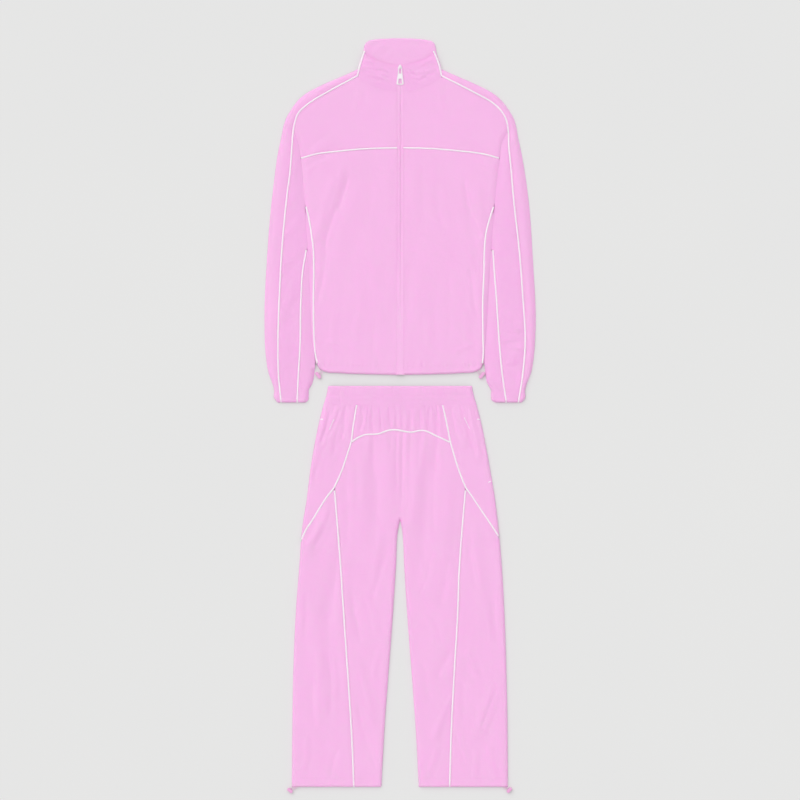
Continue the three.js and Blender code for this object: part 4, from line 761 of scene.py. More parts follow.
JACKET_CREASES = table(CREASE_COLUMNS, [
    [-126, 572, -152, 480, 3, 5, -1.3], [-152, 500, -184, 385, -3, 5.5, -1.4],
    [-178, 400, -203, 250, 5, 6, -1.2], [-136, 600, -172, 470, 4, 7, 0.9],
    [-206, 470, -216, 340, 0, 7, 0.8], [154, 566, 176, 462, -4, 5, -1.2],
    [172, 480, 196, 415, 2, 5, -1.3], [168, 362, 190, 220, -5, 6, -1.1],
    [182, 330, 196, 190, 3, 8, 0.8], [-224, 604, -146, 664, 8, 8, 0.9],
    [-232, 566, -178, 606, 6, 6, 0.8], [-206, 590, -130, 640, 8, 6, -0.7],
    [226, 600, 152, 668, -9, 8, 0.9], [230, 570, 182, 600, -6, 6, 0.8],
    [210, 604, 150, 640, -6, 6, -0.6], [-96, 786, -120, 706, 6, 8, 0.7],
    [94, 782, 116, 712, -5, 8, 0.7], [-190, 730, -120, 742, 5, 7, 0.6],
    [186, 726, 130, 744, -5, 7, 0.6], [-30, 616, -36, 470, 4, 12, 0.6],
    [34, 600, 42, 440, -5, 12, 0.7], [-70, 560, -92, 430, 6, 10, -0.5],
    [88, 560, 110, 420, -6, 10, -0.6], [-22, 420, -30, 250, 3, 12, 0.6],
    [26, 380, 22, 210, -4, 11, -0.6], [-96, 330, -108, 160, 6, 13, 0.8],
    [-62, 260, -70, 128, 3, 8, -0.6], [66, 310, 74, 140, -5, 11, 0.7],
    [118, 350, 130, 170, -6, 12, -0.7], [150, 260, 160, 136, 4, 9, 0.8],
    [-150, 270, -162, 134, -4, 9, 0.7], [-186, 172, -120, 150, 5, 7, 0.6],
    [186, 166, 128, 142, -5, 6, 0.6], [-46, 210, -104, 190, 6, 8, -0.4],
    [-248, 634, -262, 560, 3, 7, 0.9], [-262, 600, -284, 520, 4, 6, -0.8],
    [-244, 540, -286, 486, 6, 6, 1.1], [-238, 496, -276, 452, 5, 5, -0.9],
    [-240, 470, -290, 418, 7, 6, 1.1], [-236, 400, -286, 352, 6, 6, 1.2],
    [-240, 372, -296, 318, 6, 5, -1.0], [-238, 300, -284, 258, 5, 6, 1.1],
    [-296, 262, -256, 226, -5, 5, 1.0], [-244, 232, -288, 196, 5, 5, -0.9],
    [-290, 196, -250, 152, -5, 6, 1.1], [-246, 140, -286, 112, 4, 5, 0.9],
    [-308, 250, -314, 150, 2, 5, 0.8], [-300, 420, -312, 330, 2, 6, -0.7],
    [-292, 560, -300, 470, 2, 6, 0.7], [248, 636, 264, 556, -3, 7, 0.9],
    [264, 606, 284, 520, -4, 6, -0.8], [246, 560, 284, 500, -6, 6, 1.0],
    [240, 520, 280, 470, -5, 5, -0.9], [236, 420, 284, 372, -6, 6, 1.2],
    [238, 392, 290, 338, -6, 5, -1.0], [234, 340, 282, 300, -5, 6, 1.1],
    [238, 272, 278, 246, -4, 5, 1.2], [280, 246, 246, 220, 4, 5, 1.2],
    [244, 222, 282, 196, -4, 5, 1.1], [284, 198, 248, 170, 4, 5, 1.1],
    [246, 166, 288, 142, -4, 5, -1.0], [284, 140, 252, 112, 4, 5, 0.9],
    [308, 250, 312, 150, -2, 5, 0.8], [304, 410, 312, 320, -2, 6, -0.7],
    [292, 560, 300, 476, -2, 6, 0.7], [-250, 700, -226, 742, 4, 6, 0.6],
    [252, 700, 228, 742, -4, 6, 0.6], [-160, 800, -214, 762, 4, 6, 0.5],
    [160, 798, 212, 760, -4, 6, 0.5],
])
COLLAR_CREASES = table(CREASE_COLUMNS, [
    [-94, 836, -62, 831, 2, 3, -0.7], [-90, 843, -58, 836, 3, 4, 0.5],
    [-84, 824, -50, 819, 2, 3, -0.7], [-56, 822, -24, 814, 2, 3, -1.0],
    [-46, 812, -26, 804, -2, 3, -0.9], [-62, 810, -38, 800, 2, 4, 0.6],
    [-82, 806, -54, 798, 2, 3, -0.7], [-32, 826, -12, 818, 1, 3, -0.6],
    [-20, 816, -12, 790, 2, 3.5, 0.6], [-70, 796, -44, 788, 1, 4, 0.5],
    [-76, 848, -60, 842, 1, 3, -0.5], [-30, 800, -14, 784, -2, 3, -0.5],
    [14, 824, 34, 816, -2, 3, -0.9], [20, 812, 44, 806, 2, 4, -1.2],
    [30, 804, 52, 796, -2, 4, -1.0], [50, 798, 66, 804, 2, 3, -0.8],
    [60, 812, 88, 820, -2, 3, -0.8], [56, 822, 84, 832, -3, 4, 0.6],
    [46, 830, 74, 840, -2, 3, -0.6], [88, 838, 66, 846, -1, 4, 0.5],
    [14, 802, 18, 786, 1, 3, 0.5], [40, 820, 58, 814, 2, 4, 0.6],
    [70, 796, 44, 787, -1, 3, -0.5], [66, 852, 78, 856, 1, 3, -0.5],
])
NAPE_CREASES = table(CREASE_COLUMNS, [
    [-66, 852, -34, 886, 4, 6, 0.45], [-46, 848, -10, 880, 4, 6, -0.4],
    [-30, 850, 4, 884, 3, 5, 0.3], [66, 858, 40, 886, -4, 6, 0.4],
    [48, 850, 22, 876, -3, 6, -0.4], [26, 850, 2, 868, -3, 5, 0.3],
    [-74, 876, -40, 884, 3, 5, -0.3], [72, 878, 44, 886, -3, 5, -0.3],
])
WAIST_CREASES = table(CREASE_COLUMNS, [
    [-91, 18, -97, -50, 3, 4, -1.3], [-76, 18, -80, -120, 4, 6, 0.6],
    [-65, 18, -62, -170, -3, 5, -1.4], [-54, 18, -50, -90, 2, 5, 0.6],
    [-48, 18, -44, -60, 0, 3.5, -1.1], [-36, 18, -34, -140, -2, 6, 0.6],
    [-24, 18, -24, -110, 2, 4, -1.3], [-14, 18, -13, -60, 0, 4, 0.6],
    [-7, 18, -8, -190, -2, 4, -1.2], [5, 18, 4, -230, 2, 4, -1.3],
    [14, 18, 12, -90, 1, 5, 0.6], [24, 18, 22, -130, 2, 4, -1.2],
    [36, 18, 33, -70, -1, 5, 0.6], [48, 18, 42, -150, 3, 4.5, -1.4],
    [60, 18, 58, -90, 2, 5, 0.6], [72, 18, 68, -60, -2, 3.5, -1.1],
    [86, 18, 82, -170, 4, 5, -1.5], [95, 18, 94, -50, 0, 4, 0.5],
    [-118, 18, -126, -46, 2, 4, 0.6], [-130, 18, -141, -70, 2, 4.5, -1.2],
    [-144, 16, -175, -60, 4, 4.5, -1.4], [-160, 16, -184, -90, 4, 5, 0.6],
    [-168, 15, -200, -90, 5, 4.5, -1.5], [-184, -30, -212, -176, 4, 6, -1.1],
    [112, 18, 120, -50, -2, 4, 0.6], [124, 18, 136, -60, -2, 4.5, -1.2],
    [134, 16, 158, -60, -3, 4.5, -1.4], [148, 16, 176, -80, -4, 5, 0.6],
    [160, 15, 190, -108, -5, 4.5, -1.6], [172, 12, 196, -80, -4, 5, 0.5],
    [158, -18, 186, -112, -3, 4, -1.2],
])
TROUSER_CREASES = table(CREASE_COLUMNS, [
    [-61, -50, -57, -262, 4, 6, -0.7], [0, -50, 0, -250, 2, 5, -0.6],
    [86, -62, 84, -310, -4, 6, -0.7], [84, -300, 42, -450, 5, 6, -0.7],
    [-160, -206, -214, -338, 6, 6, -0.6], [-150, -326, -174, -520, 5, 7, -0.6],
    [-118, -410, -92, -556, -4, 6, -0.6], [-108, -580, -62, -748, -5, 6, -0.6],
    [-106, -676, -56, -862, -6, 6, -0.7], [-196, -560, -190, -640, 2, 9, 0.9],
    [-172, -570, -168, -740, 4, 7, -1.0], [-208, -600, -204, -760, -4, 7, -1.0],
    [125, -556, 86, -640, 4, 6, -0.5], [120, -664, 78, -748, 4, 6, -0.8],
    [232, -642, 186, -772, 5, 6, -0.8], [134, -760, 162, -858, -4, 6, -0.8],
    [-120, -100, -118, -240, 4, 8, 0.9], [-134, -160, -130, -330, 5, 8, -0.8],
    [-40, -270, -62, -420, -5, 9, 0.9], [-28, -330, -70, -470, -5, 7, -0.8],
    [-78, -430, -56, -540, 4, 8, 0.8], [-46, -560, -66, -640, -3, 7, 0.7],
    [-80, -780, -66, -880, 3, 8, 0.9], [30, -300, 62, -420, 5, 8, 0.8],
    [110, -340, 96, -470, 4, 8, -0.9], [60, -480, 88, -560, 4, 8, 0.8],
    [50, -590, 70, -700, 3, 8, -0.7], [92, -800, 70, -880, -3, 7, 0.8],
    [-190, -250, -232, -330, 5, 7, 0.9], [-168, -560, -160, -700, 4, 8, 0.8],
    [-224, -770, -236, -870, 3, 8, 0.9], [-150, -800, -166, -880, -3, 7, -0.8],
    [-236, -420, -244, -560, 3, 7, 0.8], [196, -220, 226, -310, -5, 7, 0.9],
    [166, -300, 188, -430, -5, 7, -0.9], [210, -440, 224, -560, -4, 8, 0.9],
    [160, -560, 190, -640, -4, 8, 0.8], [236, -400, 242, -540, -3, 7, 0.8],
    [150, -640, 150, -740, 3, 8, -0.8], [214, -790, 230, -880, -4, 8, 0.9],
    [182, -800, 176, -882, 3, 7, 0.8], [-208, -60, -212, -150, 3, 6, 0.8],
    [206, -70, 212, -160, -3, 6, 0.8], [-142, -30, -160, -120, 3, 6, 0.8],
    [136, -70, 150, -140, -3, 6, -0.8],
])


def eased(t):
    t = np.clip(t, 0, 1)
    return t * t * (3 - 2 * t)


def creased(creases, points):
    """Height that the creases add at points on the cloth."""
    height = np.zeros(len(points))
    for row in creases:
        start = np.array([row["x"], row["y"]], float)
        run = np.array([row["to_x"], row["to_y"]], float) - start
        length = np.linalg.norm(run)
        run /= length
        offset = points - start
        t = offset @ run / length
        inside = np.clip(t, 0, 1)
        bow = row["bow"] * 4 * inside * (1 - inside)
        wander = 0.12 * row["wide"] * np.sin(9 * t + row["x"])
        sideways = offset @ np.array([-run[1], run[0]]) - bow - wander
        beyond = (t - inside) * length
        distance = np.sqrt(sideways ** 2 + beyond ** 2) / row["wide"]
        taper = eased(inside * 5) * eased((1 - inside) * 5)
        lee = 0.3 * np.exp(-((sideways / row["wide"] - 1.9) ** 2 + (beyond / row["wide"]) ** 2))
        height += row["rise"] * taper * (np.exp(-distance ** 2) - lee)
    return height


print("creases:", sum(len(rows) for rows in (
    LARGE_FOLDS, JACKET_CREASES, COLLAR_CREASES, NAPE_CREASES, WAIST_CREASES, TROUSER_CREASES)))

# %% [markdown]
# ## Slow waves and gathers
# Cloth that lies loose is never level: slow waves run through it, longer along the garment than
# across. Elastic draws cloth into narrow upright ripples of uneven spacing. Both come from the
# same seeded lattice of random heights, joined by smooth steps.

# %% Slow waves and gathers
LATTICE = np.random.default_rng(7).uniform(-1, 1, (64, 64))


def slow_noise(x, y):
    """Smooth random heights from -1 to 1, one lattice step apart."""
    i, j = np.floor(x).astype(int), np.floor(y).astype(int)
    u, v = eased(x - i), eased(y - j)
    corner = [[LATTICE[(i + a) % 64, (j + b) % 64] for b in (0, 1)] for a in (0, 1)]
    return ((corner[0][0] * (1 - u) + corner[1][0] * u) * (1 - v)
            + (corner[0][1] * (1 - u) + corner[1][1] * u) * v)


def slow_waves(points):
    x, y = points[:, 0] + 900, points[:, 1] + 2000
    bend = 14 * slow_noise(x / 90, y / 130)
    broad = slow_noise((x + bend) / 52, y / 120)
    small = slow_noise((x - bend) / 24 + 11, (y + 2 * bend) / 48)
    return 0.55 * broad + 0.22 * small


def ripples(across, along_cloth, pitch, seed):
    """Uneven narrow grooves, from 0 down to -1, about a pitch apart."""
    phase = across / pitch + 0.9 * slow_noise(across / pitch / 2.5 + seed, along_cloth / 130 + seed)
    strength = np.clip(0.5 + 0.9 * slow_noise(across / pitch / 1.1 + 5 * seed, along_cloth / 30 + seed), 0, 1)
    return -strength * (0.5 + 0.5 * np.cos(2 * np.pi * phase)) ** 3


sample = np.random.default_rng(1).uniform(-300, 300, (4000, 2))
print("wave range, mm:", round(float(slow_waves(sample).max()), 2))

# %% [markdown]
# ## Heights of the cloth
# A garment that lies flat is a flat tube: its front turns over a small roll at each side and
# meets the back. Body and sleeve lie side by side, so both sink where they meet.

# %% Heights of the cloth
CLOTH_TOP = 7.5
ARM_LINE_TOP = 4.8
ROLL = 8
HEM_ROLL = 4.5
FREE_TOP = 104
CUFF_END = 25
CUFF_STITCH = 55
UNDERARM_TOP = 680
SHOULDER_END = 825
WAIST_TOP = 64.6
CROTCH = -258
ANKLE = -898.5
ARCH = LINES[1]["arch"](np.linspace(-118, 121, 60))
OUTLINE_RUNS = table(["name", "line", "start", "end", "count"], [
    ["sleeve", "sleeve_edge", CUFF_END, SHOULDER_END, 91],
    ["arm_line", "arm_line", FREE_TOP, UNDERARM_TOP, 91],
    ["body_line", "arm_line", 132, UNDERARM_TOP, 88],
    ["free_sleeve", "arm_line", CUFF_END, FREE_TOP, 40],
    ["hem_corner", "casing_side", 0, 1, 2],
    ["trouser", "trouser_edge", ANKLE, WAIST_SEAM, 91],
    ["inseam", "inseam", ANKLE, CROTCH, 91],
    ["hem", "hem", -20, 195, 44],
])
OUTLINE = {side: {
    run["name"]: LINES[side][run["line"]](np.linspace(run["start"], run["end"], run["count"]))
    for run in OUTLINE_RUNS
} for side in SIDES}


def rolled(distance, radius=ROLL):
    return np.sqrt(1 - (1 - np.clip(distance / radius, 0, 1)) ** 2)


def nearest(line, points):
    """Distance from each point to a line of many points."""
    best = np.full(len(points), np.inf)
    for start, step in zip(line[:-1], np.diff(line, axis=0)):
        offset = points - start
        t = np.clip(offset @ step / (step @ step), 0, 1)
        best = np.minimum(best, np.linalg.norm(offset - t[:, None] * step, axis=1))
    return best


def signed(points, side):
    return points * np.array([side, 1])


def relief(place, creases, folds=1.0, strength=1.0, waves=1.0):
    """Large folds, creases and slow waves at a place, each with its strength."""
    laid_down = folds * creased(LARGE_FOLDS, place) + strength * creased(creases, place)
    return laid_down + waves * slow_waves(place)


def puckers(seam, points, pitch, rise, wide, seed):
    """Short ripples that sewing leaves on both sides of a seam."""
    near = np.exp(-(nearest(seam, points) / wide) ** 2)
    return rise * near * (ripples(points[:, 0], points[:, 1], pitch, seed) + 0.3)


def beside_neck(side):
    neck_seam = LINES[side]["neck_seam"](np.linspace(0, 102, 31))
    return lambda points: eased(nearest(neck_seam, points) / 16)


def body_top(side):
    neck, lines = beside_neck(side), OUTLINE[side]
    hem_seam = LINES[side]["hem_seam"](np.linspace(0, 200, 21))
    chest_seam = LINES[side]["chest_seam"](np.linspace(0, 239, 21))

    def top(points):
        corner = nearest(lines["hem_corner"], points)
        line = nearest(lines["body_line"], points)
        over_arm = ARM_LINE_TOP + (CLOTH_TOP - ARM_LINE_TOP) * np.sin(np.pi / 2 * np.minimum(line / 12, 1))
        waves = relief(signed(points, side), JACKET_CREASES, folds=0.8)
        waves += puckers(hem_seam, points, 13, 0.9, 9, 2) + puckers(chest_seam, points, 23, 0.5, 12, 3)
        hem = rolled(nearest(lines["hem"], points), HEM_ROLL)
        free = rolled(np.minimum(line, corner), 20) * eased(points[:, 0] / 16) * neck(points)
        return (np.minimum(over_arm, CLOTH_TOP * rolled(corner, 6)) + waves * free) * hem

    return top


def sleeve_top(side):
    lines = OUTLINE[side]

    def top(points):
        outer = np.minimum(nearest(lines["sleeve"], points), nearest(lines["free_sleeve"], points))
        line = nearest(lines["arm_line"], points)
        level = np.minimum(ARM_LINE_TOP + (CLOTH_TOP - ARM_LINE_TOP) * eased(line / 22), CLOTH_TOP)
        waves = relief(signed(points, side), JACKET_CREASES, waves=1.2)
        fade = 1 - eased((points[:, 1] - CUFF_STITCH) / 60)
        stitched = 1 - 0.7 * np.exp(-((points[:, 1] - CUFF_STITCH) / 5) ** 2)
        leaning = points[:, 0] - 0.06 * (points[:, 1] - CUFF_END)
        gathers = 1.9 * fade * stitched * ripples(leaning, points[:, 1], 6.5, 4)
        waves += gathers * rolled(np.maximum(np.minimum(outer, 40) - 3, 0), 6)
        cuff = rolled(points[:, 1] - CUFF_END, HEM_ROLL)
        return (level * rolled(outer) + waves * rolled(np.minimum(outer, line + 4), 18)) * cuff

    return top


def collar_height(points):
    return CLOTH_TOP + 0.7 * eased((points[:, 1] - 800) / 60)


def collar_top(side):
    neck = beside_neck(side)

    def top(points):
        waves = creased(COLLAR_CREASES, signed(points, side)) + 0.5 * slow_waves(signed(points, side))
        still = eased((points[:, 0] - 6) / 12) * neck(points)
        return collar_height(points) + waves * still

    return top


def waist_ripples(place):
    """Gathers under the elastic waist: fine ones end soon, wide ones run on."""
    below = WAIST_SEAM - place[:, 1]
    across = place[:, 0] / (1 + 0.0014 * np.maximum(below, 0))
    return sum(
        deep * (1 - eased(below / run)) * ripples(across, place[:, 1], pitch, seed)
        for deep, run, pitch, seed in ((0.7, 34, 6.2, 6), (1.7, 80, 12.5, 8), (0.9, 260, 26, 9))
    )


def trouser_top(side):
    lines = OUTLINE[side]

    def top(points):
        sides = np.minimum(nearest(lines["trouser"], points), nearest(lines["inseam"], points))
        place = signed(points, side)
        waves = relief(place, TROUSER_CREASES, folds=0.9, strength=1.35, waves=1.4)
        waves += 1.3 * creased(WAIST_CREASES, place) + waist_ripples(place)
        at_band = 0.45 + 0.55 * eased((WAIST_SEAM - points[:, 1]) / 8)
        held = 1 - 0.7 * np.exp(-(nearest(ARCH, place) / 7) ** 2)
        ankle = rolled(points[:, 1] - ANKLE, HEM_ROLL)
        return (CLOTH_TOP * rolled(sides) + waves * rolled(sides, 20) * at_band * held) * ankle

    return top


print("roll of a folded edge, mm:", ROLL)

# %% [markdown]
# ## A panel as a thin shell
# Real tricot is under a millimetre thick, so each panel is a closed shell of 0.8 mm: its outside
# follows the heights, its inside lies square to it, and a rim joins them. Next to a seam the cloth
# dips, and beside piping it tucks under. Its own UV map holds millimetres across and along the
# knit, so the wales run down each piece as it was cut.

# %% Panels
THICK = 0.8
DIPS = {
    "seam": (0.12, 2.6), "piping": (1.1, 3.6), "fold": (-0.15, 2.2), "open": (0.2, 1.4),
    "roll": (0.0, 1.0),
}


def distances(flat, axis):
    grown = np.cumsum(np.linalg.norm(np.diff(flat, axis=axis), axis=2), axis=axis)
    start = np.zeros_like(np.take(grown, [0], axis=axis))
    return np.concatenate([start, grown], axis=axis)


def shell(outside, inside):
    """Faces of a closed shell between two grids of points, columns rightwards and rows up."""
    rows, columns = outside.shape[:2]
    index = np.arange(rows * columns).reshape(rows, columns)
    front = np.stack([index[:-1, :-1], index[:-1, 1:], index[1:, 1:], index[1:, :-1]], axis=-1).reshape(-1, 4)
    back = front[:, ::-1] + rows * columns
    rim = np.r_[index[0, :-1], index[:-1, -1], index[-1, :0:-1], index[:0:-1, 0]]
    following = np.roll(rim, -1)
    border = np.column_stack([rim, rim + rows * columns, following + rows * columns, following])
    points = np.vstack([outside.reshape(-1, 3), inside.reshape(-1, 3)])
    return points, np.vstack([front, back, border])


def inside_of(grid):
    """The inner face of the cloth, square to its outside and just clear of the floor."""
    inside = grid - THICK * unit(np.cross(np.gradient(grid, axis=1), np.gradient(grid, axis=0)))
    inside[..., 2] = np.maximum(inside[..., 2], 0.02)
    return inside


def laid(made, node, slot):
    """The piece rides on the suit and stands for its node, which is hidden."""
    dressed(made, "suit", slot, node)


def borders_of(side, rows):
    """Borders of a panel from rows: border, its kinds, its allowance and its stretches."""
    return {border: (kinds.split(), edge(side, *stretches)) for border, kinds, *stretches in rows}


def cloth_panel(node, side, top, borders, cell=CELL, material=TRICOT, slot="pink_jersey"):
    """A panel between its four borders; a border has a kind for each stretch, or one for all."""
    kinds = {border: kind for border, (kind, _) in borders.items()}
    edges = {border: parts for border, (_, parts) in borders.items()}
    rows = stations(edges["inner"], edges["outer"], cell, kinds["low"][0], kinds["high"][0])
    columns = stations(edges["low"], edges["high"], cell, kinds["inner"][0], kinds["outer"][0])
    flat = grid_between(edges, rows, columns)
    height = top(flat.reshape(-1, 2)).reshape(flat.shape[:2])
    across, up = distances(flat, 1), distances(flat, 0)
    gaps = {"inner": across, "outer": across[:, -1:] - across, "low": up, "high": up[-1:] - up}
    for border, gap in gaps.items():
        upright_border = border in ("inner", "outer")
        places = rows if upright_border else columns
        stretch = np.minimum(places.astype(int), len(kinds[border]) - 1)
        dips = np.array([DIPS[kind] for kind in kinds[border]])[stretch].T
        depth, wide = dips[:, :, None] if upright_border else dips
        height = height - depth * np.clip(1 - gap / wide, 0, 1) ** 2
    grid = np.dstack([flat, np.maximum(height, 0)])
    points, faces = shell(grid, inside_of(grid))
    points[:, 0] *= side
    uv = np.column_stack([(across - across[:, -1:] / 2).ravel(), flat[..., 1].ravel()])
    made = mesh_object(node + "_cloth", points, faces[:, ::side], material, np.vstack([uv, uv]))
    laid(made, node, slot)


print("shell thickness, mm:", THICK)

# %% [markdown]
# ## Jacket panels
# Each half has a front yoke above the chest seam, a front, a narrow side panel, a hem casing, a
# collar front, and a sleeve in three: the strip that runs from the collar over the shoulder to
# the cuff, the sleeve front, and the underarm panel. The sleeve front, the underarm panel, the side
# panel and the collar front take a darker copy of the tricot, which is painted shade. Each row below
# is one border of a panel: how it is finished, its allowance, and the named lines it runs along.

# %% Jacket panels
BESIDE_ZIP = 7.05
UNDERARM_END = 389
ARMHOLE_START = 398
SLEEVE_FRONT_END = 673
SIDE_PANEL_LOW, SIDE_PANEL_HIGH = 142, 480
COLLAR_POINT = 809
COLLAR_END = {-1: 862, 1: 867}
SLEEVE_SEAM = [
    ("sleeve_seam", CUFF_END, UNDERARM_END), ("sleeve_seam", UNDERARM_END, ARMHOLE_START),
    ("sleeve_seam", ARMHOLE_START, SLEEVE_FRONT_END),
]
UNDERARM_SEAM = ("underarm_seam", CUFF_END, UNDERARM_END), ("underarm_seam", UNDERARM_END, 392)
for side, column in SIDES.items():
    body, sleeve, sleeve_back = body_top(side), sleeve_top(side), [f"sleeve_back_{column}"]
    cloth_panel(f"shoulder_sleeve_strip_{column}", side, sleeve, borders_of(side, [
        ["inner", "piping", UNDER_PIPING, *SLEEVE_SEAM, ("sleeve_seam", SLEEVE_FRONT_END, COLLAR_POINT)],
        ["outer", "roll", 0, ("sleeve_edge", CUFF_END, UNDERARM_END),
         ("sleeve_edge", UNDERARM_END, ARMHOLE_START), ("sleeve_edge", ARMHOLE_START, 672),
         ("sleeve_edge", 672, SHOULDER_END)],
        ["low", "roll", 0, ("sleeve_seam", "sleeve_edge", CUFF_END)],
        ["high", "piping", UNDER_PIPING, ("collar_side", COLLAR_POINT, SHOULDER_END)],
    ]))
    cloth_panel(f"sleeve_front_{column}", side, sleeve, borders_of(side, [
        ["inner", "piping piping open", UNDER_PIPING, *UNDERARM_SEAM,
         ("arm_line", 394, SLEEVE_FRONT_END, BESIDE_ARM)],
        ["outer", "piping", UNDER_PIPING, *SLEEVE_SEAM],
        ["low", "roll", 0, ("underarm_seam", "sleeve_seam", CUFF_END)],
        ["high", "open", SEAM, ("arm_line", "sleeve_seam", SLEEVE_FRONT_END)],
    ]), material=PAINTED_SHADE_TRICOT)
    cloth_panel(f"underarm_panel_{column}", side, sleeve, borders_of(side, [
        ["inner", "roll", BESIDE_ARM, ("arm_line", CUFF_END, FREE_TOP, 0),
         ("arm_line", FREE_TOP, UNDERARM_END)],
        ["outer", "piping", UNDER_PIPING, ("underarm_seam", CUFF_END, FREE_TOP),
         ("underarm_seam", FREE_TOP, UNDERARM_END)],
        ["low", "roll", 0, ("arm_line", "underarm_seam", CUFF_END)],
        ["high", "open", SEAM, ("arm_line", "underarm_seam", UNDERARM_END)],
    ]), cell=2.6, material=PAINTED_SHADE_TRICOT)
    cloth_panel(f"front_yoke_{column}", side, body, borders_of(side, [
        ["inner", "fold", BESIDE_ZIP, ("centre", 636.5, 770)],
        ["outer", "roll", BESIDE_ARM, ("arm_line", 612, UNDERARM_TOP)],
        ["low", "piping", UNDER_PIPING, ("chest_seam", 0, 150), ("chest_seam", 150, 239)],
        ["high", "seam piping", UNDER_PIPING, ("neck_seam", 0, 102, SEAM),
         ("sleeve_seam", COLLAR_POINT, 668)],
    ]))
    cloth_panel(f"front_{column}", side, body, borders_of(side, [
        ["inner", "fold", BESIDE_ZIP, ("centre", 114, 500), ("centre", 500, 636.5)],
        ["outer", "piping open", UNDER_PIPING, ("side_seam", 117, 495), ("arm_line", 501, 612, BESIDE_ARM)],
        ["low", "seam", SEAM, ("hem_seam", 0, 196)],
        ["high", "piping", UNDER_PIPING, ("chest_seam", 0, 239)],
    ]))
    cloth_panel(f"side_panel_{column}", side, body, borders_of(side, [
        ["inner", "open", UNDER_PIPING, ("side_seam", SIDE_PANEL_LOW, SIDE_PANEL_HIGH)],
        ["outer", "open", BESIDE_ARM, ("arm_line", SIDE_PANEL_LOW, SIDE_PANEL_HIGH)],
        ["low", "open", SEAM, ("side_seam", "arm_line", SIDE_PANEL_LOW)],
        ["high", "open", SEAM, ("side_seam", "arm_line", SIDE_PANEL_HIGH)],
    ]), cell=1.6, material=PAINTED_SHADE_TRICOT)
    cloth_panel(f"hem_casing_{column}", side, body, borders_of(side, [
        ["inner", "fold", BESIDE_ZIP, ("centre", 91.5, 114)],
        ["outer", "roll", 0, ("casing_side", 0, 1)],
        ["low", "roll", 0, ("hem", 0, 195)],
        ["high", "seam", SEAM, ("hem_seam", 0, 200)],
    ]), cell=2.4)
    cloth_panel(f"collar_front_{column}", side, collar_top(side), borders_of(side, [
        ["inner", "fold", BESIDE_ZIP, ("centre", 770, 832)],
        ["outer", "piping", UNDER_PIPING, ("collar_side", COLLAR_POINT, COLLAR_END[side])],
        ["low", "seam", SEAM, ("neck_seam", 0, 102)],
        ["high", "fold", 0, ("collar_top", 0, 84)],
    ]), cell=2.2, material=PAINTED_SHADE_TRICOT)

# %% [markdown]
# ## Trouser panels
# The trousers have a gathered yoke between the hips, slanting hip panels, and each leg has an
# inner and an outer front. Below the yoke's arch the inner legs meet on the middle seam.

# %% Trouser panels
ARCH_END = {-1: 118, 1: 121}
ARCH_SIDE = -71
HIP_IN, HIP_OUT, HIP_END = 157.7, 237, -300
for side, column in SIDES.items():
    leg, leg_back = trouser_top(side), [f"back_leg_{column}"]
    arch_middle = point_on(LINES[side]["arch"], 0)[1]
    cloth_panel(f"front_inner_leg_{column}", side, leg, borders_of(side, [
        ["inner", "roll", SEAM, ("inseam", ANKLE, CROTCH, 0), ("centre", CROTCH, arch_middle)],
        ["outer", "piping", UNDER_PIPING, ("leg_seam", ANKLE, -219), ("leg_to_yoke", -219, ARCH_SIDE)],
        ["low", "roll", 0, ("inseam", "leg_seam", ANKLE)],
        ["high", "piping", UNDER_PIPING, ("arch", 0, ARCH_END[side])],
    ]))
    cloth_panel(f"hip_panel_{column}", side, leg, borders_of(side, [
        ["inner", "piping", UNDER_PIPING, ("yoke_seam", YOKE_TIP, WAIST_SEAM)],
        ["outer", "roll", 0, ("trouser_edge", HIP_END, WAIST_SEAM)],
        ["low", "piping", UNDER_PIPING, ("hip_seam", HIP_IN, HIP_OUT)],
        ["high", "seam", SEAM, ("yoke_seam", "trouser_edge", WAIST_SEAM)],
    ]), cell=2.8)
    cloth_panel(f"front_outer_leg_{column}", side, leg, borders_of(side, [
        ["inner", "piping", UNDER_PIPING, ("leg_seam", ANKLE, YOKE_TIP)],
        ["outer", "roll", 0, ("trouser_edge", ANKLE, HIP_END)],
        ["low", "roll", 0, ("leg_seam", "trouser_edge", ANKLE)],
        ["high", "piping", UNDER_PIPING, ("hip_seam", HIP_IN, HIP_OUT)],
    ]))


def yoke_top(points):
    left = points[:, 0] < 0
    height = np.empty(len(points))
    for side, here in ((-1, left), (1, ~left)):
        if here.any():
            height[here] = trouser_top(side)(signed(points[here], side))
    return height


yoke_side = ("yoke_seam", ARCH_SIDE, WAIST_SEAM)
yoke_borders = borders_of(1, [
    ["outer", "piping", UNDER_PIPING, yoke_side],
    ["low", "piping", UNDER_PIPING, ("arch", -118, 0), ("arch", 0, 121)],
    ["high", "seam", SEAM, ("waist_seam", -104, -1), ("waist_seam", -1, 102)],
])
yoke_borders["inner"] = (["piping"], flip(edge(-1, UNDER_PIPING, yoke_side)))
cloth_panel(
    "front_yoke", 1, yoke_top, yoke_borders,
    cell=2.2, material=GATHERED, slot="gathered_jersey",
)

# %% [markdown]
# ## Backs
# The backs lie flat on the floor under the fronts, so they are level sheets with a rounded rim.
# Each is cut from the same lines as the panels above it, a little inside their rolled edges, so
# that from above only the fronts show.

# %% Backs
BACK_TOP = 2.0
BACK_INSET = 4.4
RIM = 0.35
RIM_RINGS = [(RIM, 0.0), (0.0, RIM), (0.0, BACK_TOP - RIM), (RIM, BACK_TOP)]
BACK_ARM_START = 122
CORNER_REACH = 40


def run(side, inset, *stretches):
    """An edge of a sheet that spans both halves; on the left it is mirrored and turned round."""
    parts = edge(side, inset, *stretches)
    return (parts, False) if side > 0 else (flip(parts), True)


